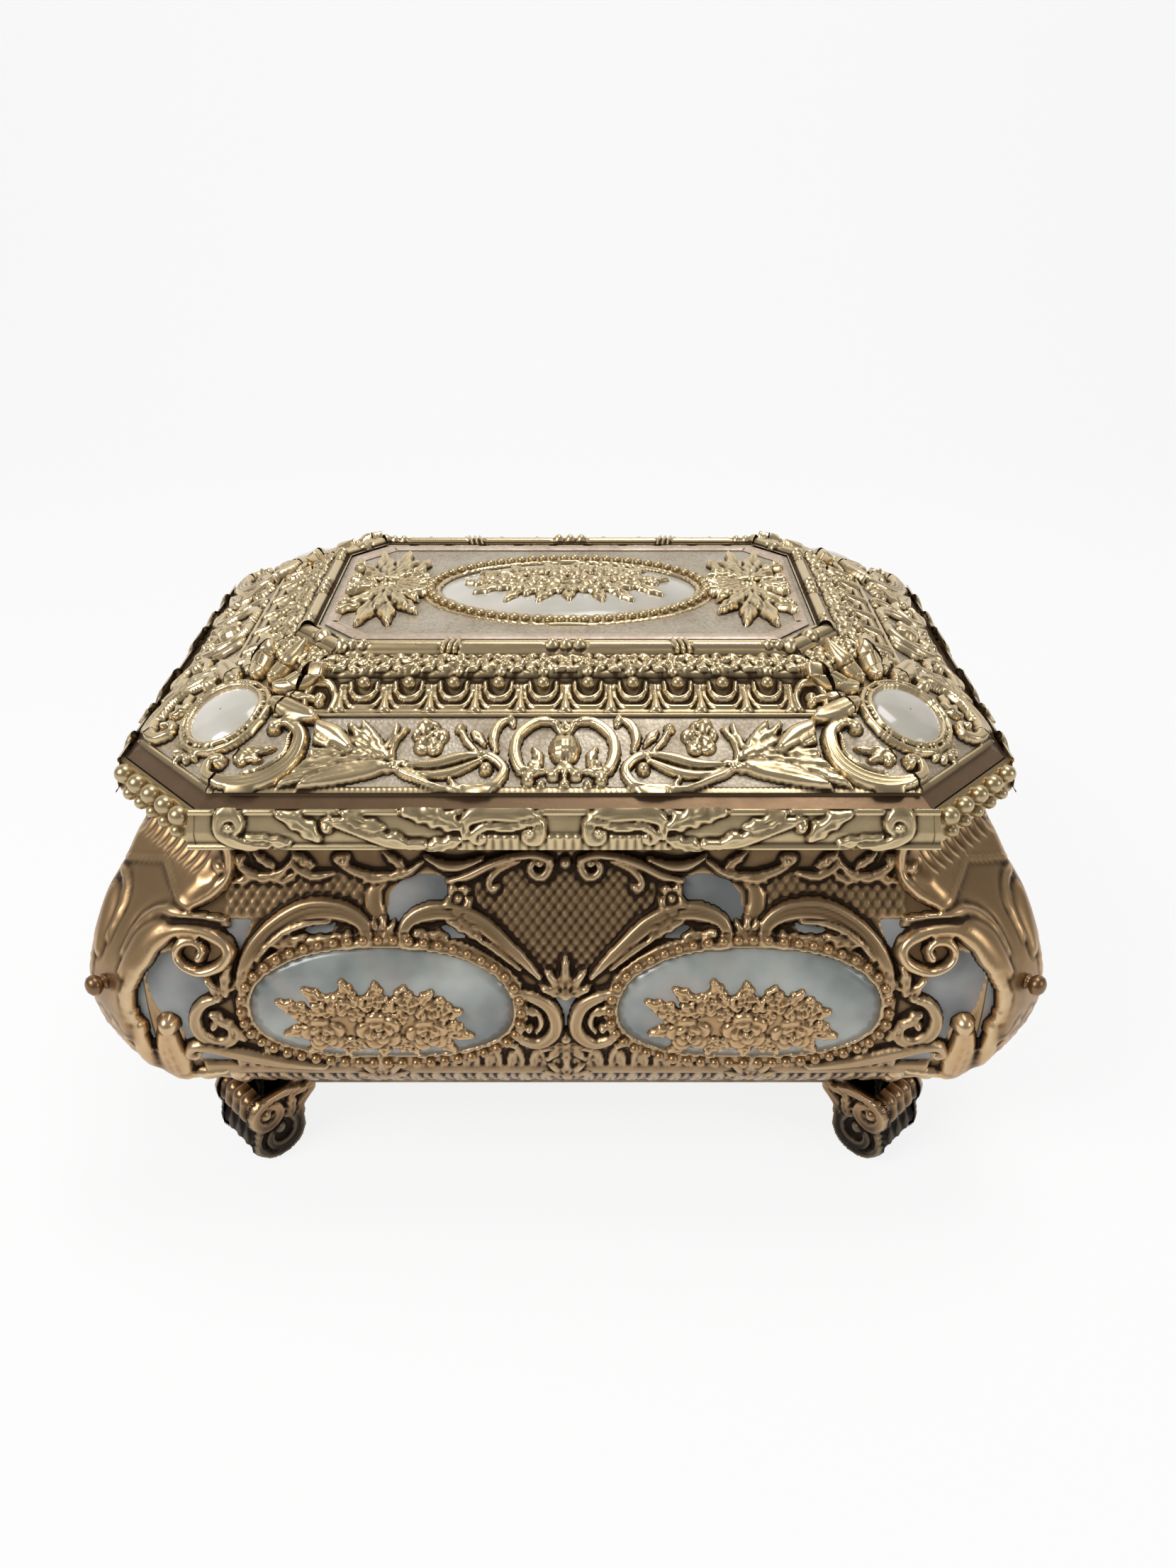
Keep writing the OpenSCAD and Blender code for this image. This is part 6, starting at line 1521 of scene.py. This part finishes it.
# Leaf tips as seen from the middle, and roses as middle, radius and height
topBouquet = {
    "middle": 0, "roots": (0.68, 0.42, 0), "width": 1.8, "inside": (0.76, 1.9, 10, 1.2), "bend": 16,
    "tips": [
        (-21, 0.6), (-20.6, 3.6), (-18.4, 6), (-15.4, 7.6), (-12, 9), (-8.4, 9.4), (-5, 10.2), (-1.6, 10.4),
        (2, 10.4), (5.4, 9.8), (9, 9.2), (12.6, 8.6), (16, 7.4), (19, 5.4), (20.6, 2.6), (21, -1),
        (19, -5.6), (16, -6.4),
        (13, -8.8), (10, -7.6), (7, -9.6), (4, -8.4), (0.4, -9.4), (-3, -8.6), (-6, -9.6), (-9, -8.4), (-12.4, -9),
        (-15.6, -6.8), (-19, -4.6),
    ],
    "roses": [
        (-16.4, 1.4, 2.5, 1.4), (16.6, 1.0, 2.5, 1.4), (-7.6, 4.2, 2.8, 1.6), (7.6, 4.0, 2.8, 1.6),
        (0, 5.4, 2.4, 1.5), (-11.6, 0.0, 3.5, 1.8), (11.8, -0.2, 3.5, 1.8), (-5.4, -2.0, 3.4, 1.9),
        (5.8, -2.2, 3.4, 1.9), (0, 0.6, 4.4, 2.3),
    ],
}


def drawBorder(art, wide=None, halfTop=None):
    y = art["y"] = -art["y"]
    art["h"][:] = 0.05
    for at, radius, level in ((2.05, 1.15, 1.35), (0.2, 0.3, 0.5), (3.5, 0.3, 0.6)):
        art["h"] = np.maximum(art["h"], level * np.sqrt(np.clip(1 - ((y - at) / radius) ** 2, 0, 1)))
    art["tone"] = np.where((y > 0.4) & (y < 1.1), 1.2, art["tone"])
    if halfTop is None:
        return
    for d in (0, 2.5):
        ball(art, d, 2.0, 1.3, 2.1, 0.95)
    for spot in (19.9, 21.0, 22.1) if wide else ():
        scroll(art, [(spot - 0.4, 0.7), (spot + 0.4, 3.3)], [0.4, 0.4], 1.75, False, False)
    end = sideHalf(halfTop, 2.0)
    ball(art, end - 0.4, 2.0, 1.6, 2.1)
    for d in (2.4, 4.4):
        ball(art, end - d, 2.0, 1.15, 1.9, 0.8)


# Pale bevelled strip inside the border
def drawBevel(art, *rest):
    out = -art["y"]
    art["h"][:] = 0.15 + 0.35 * np.clip((out + 3.3) / 0.5, 0, 1) * np.clip((-0.9 - out) / 0.4, 0, 1)


def drawBorderCorner(art):
    art["y"] = art["y"] / cornerRate
    drawBorder(art)
    ball(art, 0, 1.75, 1.5, 1.9)


borderBand = 0.0, topField["borderOuter"], topField["step"]
lidGilt("topBorder", overSides(*borderBand, drawBorder) + overCorners(*borderBand, drawBorderCorner), "top_border")
bevelBand = -3.4, -0.9, 0.3, drawBevel
joinedPiece("topBevel", overSides(*bevelBand) + overCorners(*bevelBand), "bevel", "lid", "silvered_ground")


# A level sheet at a height above the table, with its normals
def flatPlane(x, y, z):
    return np.stack([x, y, z + 0 * x], -1), np.stack([0 * x, 0 * x, 1 + 0 * x], -1)


# A spray of leaves, drawn with +x outward
def makeSpray(s, label, node):
    art = squareArt(-14, 14, -21, 21, topField["step"])
    for sign in (-1, 1):
        for i, (tip, reach) in enumerate(((-7.8, 13), (-3.0, 18.6), (3.0, 19.2), (7.8, 13.4))):
            leafTo(art, (0.3 * tip, sign * 4.0), (tip, sign * reach), 2.5, sign * (22 - 14 * i), 3, 1.6)
        for tx, ty in ((-7.6, 7.4), (-5.6, 12), (0.2, 13), (5.8, 10.4)):
            leafTo(art, (0, sign * 2), (tx, sign * ty), 2.1, 20, 3, 2.0)
    spread = ((150, 9.4), (165, 9.8), (180, 9.0), (195, 9.8), (210, 9.4), (24, 8), (-24, 8), (0, 8))
    fan(art, (0, 0), spread, 1.7, 4, 1.7)
    for bx, by in ((6, 3), (6, -3), (6.2, -10), (6.2, 9.6), (-5, 5.4), (-5, -5.4)):
        line = curled([(bx - 3.6, by * 0.7), (bx - 1.4, by * 0.86), (bx + 0.6, by - 0.4)], (bx, by + 0.6), 0.8)
        scroll(art, line, [0.4, 0.7, 0.7, 0.6], 2.0, False, eye=0.8)
    rose(art, 0, 0, 2.4, 2.2)
    place = flatPlane(art["x"] * s + s * topField["sprayX"], art["y"], topField["z"])
    lidGilt("leafSpray" + label, [reliefGrid(*place, art["h"], cut=-0.1, floor=-0.15)], node)


makeSpray(-1, "Left", "leaf_spray_left")
makeSpray(1, "Right", "leaf_spray_right")


def makeCentre():
    a, b, rise, level = topField["cabA"], topField["cabB"], topField["cabRise"], topField["z"]
    r, t = np.meshgrid(np.concatenate([[0.004], np.linspace(0.06, 1, 18)]), np.linspace(0, 2 * math.pi, 97),
                       indexing="ij")
    place = flatPlane(r * (a - 0.02) * np.cos(t), r * (b - 0.02) * np.sin(t), level - 0.6)
    relief = reliefGrid(*place, 0.25 + rise * np.clip(1 - r**3.2, 0, 1) ** 0.9)
    joinedPiece("centreCabochon", [relief], "cabochon", "lid", "lid_cabochon", "centre_cabochon")
    # Beaded ring
    art = squareArt(-31, 31, -19, 19, 0.35)
    for inner, outer, height in ((0.0, 3.4, 0.5), (-0.1, 0.5, 0.95), (3.1, 3.6, 0.7)):
        ovalBand(art, 0, 0, a, b, inner, outer, height, 2)
    place = flatPlane(art["x"], art["y"], level - 0.05)
    lidGilt("centreRing", [reliefGrid(*place, art["h"], cut=-0.1, floor=-0.15)], "centre_bead_ring")
    at, up = flatPlane(*ovalLine(0, 0, a + 1.9, b + 1.9, 2, 128), level + 0.75)
    beads = beadPiece("centreBeads", [(at, up, True)], "paleGilt", Pitch=topField["beadPitch"] * mm,
                      Radius=topField["beadRadius"] * mm, Depth=topField["beadDepth"])
    settle(beads, "lid", "pale_gilt")
    # Bouquet
    art = squareArt(-24, 24, -12, 11, 0.24)
    x, y = art["x"], art["y"]
    fillShape(art, np.hypot(x / 17, (y - 0.6) / 5.4) < 1, 0.3)
    drawRings(art, topBouquet)
    for row in topBouquet["roses"]:
        rose(art, *row, turn=row[0])
    share = np.clip((x / a) ** 2 + (y / b) ** 2, 0, 1) ** 1.6
    at, up = flatPlane(x, y, level - 0.35)
    height = np.where(art["h"] > 0, art["h"], -0.5)
    relief = reliefGrid(at + up * (rise * (1 - share))[..., None], up, height, cut=0, floor=-0.2)
    lidGilt("centreBouquet", [relief], "centre_bouquet")


makeCentre()
print("top field made")


# Rim: scrolls on gilt, beads round the corners
rim = {
    "top": 87.5, "low": 80.8, "middle": 84.0, "step": 0.26, "cornerRows": 14, "cornerColumns": 30,
    "rearHeight": 0.6,
    "profileZ": (80.8, 83.6, 87.2, 87.7), "profileOut": (34.4, 34.3, 33.3, 32.6), "lean": 0.25, "beadLean": 0.3,
}
# Rows of beads: name, radius, pitch, height, lift and the nodes they stand for
rimRows = [("rimBeads", 1.75, 4.9, 85.6, 0.7, ("rim_beads",)), ("rimSmallBeads", 1.2, 4.3, 82.2, 0.4, ())]


def rimOut(z):
    return np.interp(z, rim["profileZ"], rim["profileOut"])


def onRim(side, x, z):
    out = rimOut(z)
    slope = (rimOut(z + 0.3) - rimOut(z - 0.3)) / 0.6
    points = np.stack([x, -(topDepth + out), z + 0 * x], -1)
    normals = unitRows(np.stack([0 * x, -1 + 0 * slope, -slope], -1))
    return turnTo(side, points, normals, topSkew)


def onRimCorner(sx, sy, x, z, lean, length):
    points = onLidCorner(sx, sy, x, rimOut(z))[0]
    points[..., 2] = z
    return points, np.broadcast_to(np.array([sx, sy, lean]) / length, points.shape)


def drawRim(art, wide):
    art["y"] = art["y"] - rim["middle"]
    x, y = art["x"], art["y"]
    art["h"][:] = 0.0
    rail(art, -2.9, 0.5, 0.7)
    rail(art, 3.2, 0.35, 0.6)
    clear(art, (x < 17.4) & (y < -0.6) & (y > -3.0), 0.35 + 0.4 * np.abs(np.sin(math.pi * x / 1.5)))
    line = [(16.6, -0.6), (16.4, 2), (12.4, 3.1), (8, 2.9), (4.6, 1.6), (4.4, -1)]
    scroll(art, curled(line, (5.6, -0.4), 0.6), [0.8, 1.3, 1.5, 1.5, 1.3, 0.9], 1.3, eye=0.8)
    scroll(art, curled([(4.4, 2), (9, 0.8), (13, 1), (15.4, -0.4)], (14.2, -0.9), 0.6), [0.6, 0.8, 0.8, 0.6], 1.2)
    if wide:
        leaves(art, ((17, 0.6), 14, 11, 2.4, -30, 4, 1.4), ((17, -1), -12, 10, 1.8, 30, 4, 1.2))
        line = curled([(24, -2.4), (29, -1.6), (34, 0.4), (38.4, 1.8)], (39.4, 0.8), 0.4)
        scroll(art, line, [0.8, 1.5, 1.3, 0.8], 1.4, eye=1.0, lobes=4)
        leaves(art, ((30, 0.6), 20, 8, 1.4, 20, 3, 1.0), ((41, -1.6), 32, 9, 2.1, -40, 3, 1.4),
               ((46, -2), 10, 8, 1.4, 20, 3, 1.1))
        line = curled([(50, -2.4), (54, -2.2), (57.4, -0.4), (57.6, 2)], (55.8, 1.2), 0.8)
        scroll(art, line, [0.6, 1.3, 1.3, 0.8], 1.4, eye=0.9)
    else:
        leaf(art, (17, 0.6), 10, 10, 2.2, -30, 4, 1.4)
        line = curled([(26, -2.4), (31, -2.2), (34.4, -0.4), (34.6, 2)], (32.8, 1.2), 0.8)
        scroll(art, line, [0.6, 1.1, 1.1, 0.7], 1.4, eye=0.8)


def rimGrid(rows, reach, columns):
    x = np.linspace(-1, 1, columns)[None, :] * reach[:, None]
    return x, np.repeat(rows[:, None], columns, axis=1)


def makeRim():
    parts = []
    for side in sides:
        wide = side in sides[:2]
        z = np.linspace(rim["low"], rim["top"], int((rim["top"] - rim["low"]) / rim["step"]))
        reach = sideHalf(topWidth if wide else topDepth, rimOut(z)) + 0.2
        x, up = rimGrid(z, reach, int(2 * reach[0] / rim["step"]))
        art = newArt(np.abs(x), up)
        drawRim(art, wide)
        height = np.minimum(art["h"], rim["rearHeight"]) if side == "rear" else art["h"]
        parts.append(reliefGrid(*onRim(side, x, up), height))
    z = np.linspace(rim["low"], rim["top"], rim["cornerRows"])
    x, up = rimGrid(z, cornerHalf(rimOut(z)) + 0.3, rim["cornerColumns"])
    parts += [reliefGrid(*onRimCorner(sx, sy, x, up, rim["lean"], 1.44), 0 * x) for sx, sy in cornerSigns]
    lidGilt("rimScrolls", parts, "rim_band")
    for name, radius, pitch, level, lift, replaced in rimRows:
        x, z = np.linspace(-2 * pitch, 2 * pitch, 30), np.full(30, level)
        lines = []
        for sx, sy in cornerSigns:
            points, facing = onRimCorner(sx, sy, x, z, rim["beadLean"], 1.45)
            lines.append((points + facing * lift, facing, False))
        piece = beadPiece(name, lines, "paleGilt", Pitch=pitch * mm * 0.9995, Radius=radius * mm, Unevenness=0.08)
        settle(piece, "lid", "pale_gilt", *replaced)


makeRim()
print("rim made")


# Velvet: wall lining, floor pad and lid lining
lining = {
    "outer": -2.25, "inner": -3.2, "low": 22.8, "high": 81.6, "rows": 40, "wave": 0.12, "turn": 3.0,
    "turnPoints": 5, "wallFill": 0.3, "padFill": 0.6, "lidFill": 0.5, "lidTurn": 2.5,
}
# Floor pad as share of the floor and lift; lid lining as distance out and drop, above and below
padShape = [(0.985, 0.0), (1.0, 0.8), (1.0, 2.4), (0.985, 3.5), (0.95, 4.0), (0.8, 4.2), (0.6, 4.3), (0.4, 4.35),
            (0.2, 4.4)]
lidLiningShape = [
    (-20, 3.6), (0, 3.6), (4, 4.6), (9, 7.0), (15.5, 10.4), (22.3, 14.2), (22.3, 19.4), (20.6, 19.2), (18, 15.2),
    (12, 10.4), (6, 7.2), (0, 5.6), (-8, 5.4), (-20, 5.5),
]


def velvetLoop(z, offset, scale=1.0):
    halfWidth, halfDepth, leg = (float(value) for value in wallSizes(z))
    loop = octagonLoop(
        halfWidth + offset, halfDepth + offset, leg + 0.6 * offset, lining["turn"], lining["turnPoints"])
    return atHeight(loop * scale, z)


def lidLoop(out, z):
    halfWidth, halfDepth = topWidth + out, topDepth + out
    leg = halfWidth + halfDepth - rootTwo * (topDiagonal + float(cornerRun(out)))
    return atHeight(octagonLoop(halfWidth, halfDepth, leg, lining["lidTurn"], lining["turnPoints"]), z)


def velvetPiece(name, loops, body, node, caps=False):
    grid = np.array(loops)
    rows, columns = grid.shape[:2]
    points, faces = grid.reshape(-1, 3), ringFaces(rows, columns, round=not caps).tolist()
    if caps:
        points = np.vstack([points, grid[0].mean(axis=0), grid[-1].mean(axis=0)])
        low, high, last = rows * columns, rows * columns + 1, (rows - 1) * columns
        faces += [((k + 1) % columns, k, low) for k in range(columns)]
        faces += [(last + k, last + (k + 1) % columns, high) for k in range(columns)]
    return settle(listedPiece(name, points, faces, finishes["velvet"]), body, "velvet_lining", node)


def makeLinings():
    heights = np.linspace(lining["low"], lining["high"], lining["rows"])
    loops = [velvetLoop(z, lining["outer"]) for z in heights]
    loops += [velvetLoop(z, lining["inner"] + lining["wave"] * math.cos(z * 1.1)) for z in heights[::-1]]
    velvetPiece("wallLining", loops, "casket", "wall_lining")
    loops = []
    for share, lift in padShape:
        loops.append(velvetLoop(lining["low"] + min(lift, 3.9), lining["inner"] - 0.3, share))
        loops[-1][:, 2] = lining["low"] + min(lift * 0.9, 3.95)
    velvetPiece("floorPad", loops, "casket", "floor_pad", caps=True)
    loops = [lidLoop(out, fieldZ - drop) for out, drop in lidLiningShape]
    velvetPiece("lidLining", loops, "lid", "lid_lining")


makeLinings()
print("linings made")


# Stage, lights and camera
stage = {
    "floor": (0.93, 0.925, 0.92, 1.0), "size": 1.6, "height": 1.2, "back": 0.7, "curve": 0.25, "floorGlow": 0.85,
    "world": 0.22, "seenWorld": 0.78, "focal": 1662.0, "photoHeight": 2212, "sensor": 36.0, "tilt": 58.6,
    "position": (0.004, -0.2247, 0.1941),
}
# Lamps: place, point looked at, size and power
lamps = {
    "windowLeft": ((-0.45, -0.35, 0.55), (0, 0, 0.06), (0.3, 0.3), 2.8),
    "ceiling": ((0.1, 0.1, 0.8), (0, 0, 0.06), (0.4, 0.3), 2.2),
    "fillRight": ((0.5, -0.3, 0.3), (0, 0, 0.05), (0.2, 0.2), 0.5),
}


# One where a ray comes from the camera or another of the named kinds
def seenBy(tree, *kinds):
    path = addNode(tree, "ShaderNodeLightPath")
    seen = path.outputs["Is Camera Ray"]
    for kind in kinds:
        seen = mathNode(tree, "MAXIMUM", seen, path.outputs[kind])
    return seen


def makeFloor():
    size, back, curve = stage["size"], stage["back"], stage["curve"]
    profile = [(-size, 0.0), (back - curve, 0.0)]
    for i in range(1, 9):
        a = math.pi / 2 * i / 8
        profile.append((back - curve + curve * math.sin(a), curve - curve * math.cos(a)))
    profile.append((back, stage["height"]))
    points = [(x / mm, y / mm, z / mm - 0.05) for y, z in profile for x in (-size, size)]
    faces = [(2 * i, 2 * i + 1, 2 * i + 3, 2 * i + 2) for i in range(len(profile) - 1)]
    material = bpy.data.materials.new("paleFloor")
    material.use_nodes = True
    tree = material.node_tree
    surface = tree.nodes["Principled BSDF"]
    surface.inputs["Base Color"].default_value = stage["floor"]
    surface.inputs["Roughness"].default_value = 0.9
    glow = addNode(tree, "ShaderNodeEmission", {"Color": (1, 1, 1, 1), "Strength": 1.0})
    share = mathNode(tree, "MULTIPLY", seenBy(tree, "Is Glossy Ray", "Is Transmission Ray"), stage["floorGlow"])
    mixed = addNode(tree, "ShaderNodeMixShader", {0: share, 1: surface.outputs[0], 2: glow.outputs[0]})
    tree.links.new(mixed.outputs[0], tree.nodes["Material Output"].inputs["Surface"])
    listedPiece("floor", points, faces, material)


def makeWorld():
    world = bpy.data.worlds.new("studio")
    bpy.context.scene.world = world
    world.use_nodes = True
    tree = world.node_tree
    background = tree.nodes["Background"]
    seen = mathNode(tree, "MULTIPLY", seenBy(tree, "Is Transmission Ray"), stage["seenWorld"])
    background.inputs["Color"].default_value = (1, 1, 1, 1)
    tree.links.new(mathNode(tree, "ADD", seen, stage["world"]), background.inputs["Strength"])


def makeLamp(name, position, target, size, power):
    lamp = bpy.data.lights.new(name, "AREA")
    lamp.shape = "RECTANGLE"
    lamp.size, lamp.size_y = size
    lamp.energy = power
    holder = linked(name, lamp)
    holder.location = position
    holder.rotation_euler = (Vector(target) - Vector(position)).to_track_quat("-Z", "Y").to_euler()


makeFloor()
makeWorld()
for lampName, values in lamps.items():
    makeLamp(lampName, *values)

view = bpy.data.cameras.new("photoCamera")
view.sensor_width = stage["sensor"]
view.lens = stage["sensor"] * stage["focal"] / stage["photoHeight"]
camera = linked("photoCamera", view)
camera.location = stage["position"]
camera.rotation_euler = (math.radians(stage["tilt"]), 0, 0)
bpy.context.scene.camera = camera
bpy.context.scene.view_settings.view_transform = "Standard"

print("casket dressed")
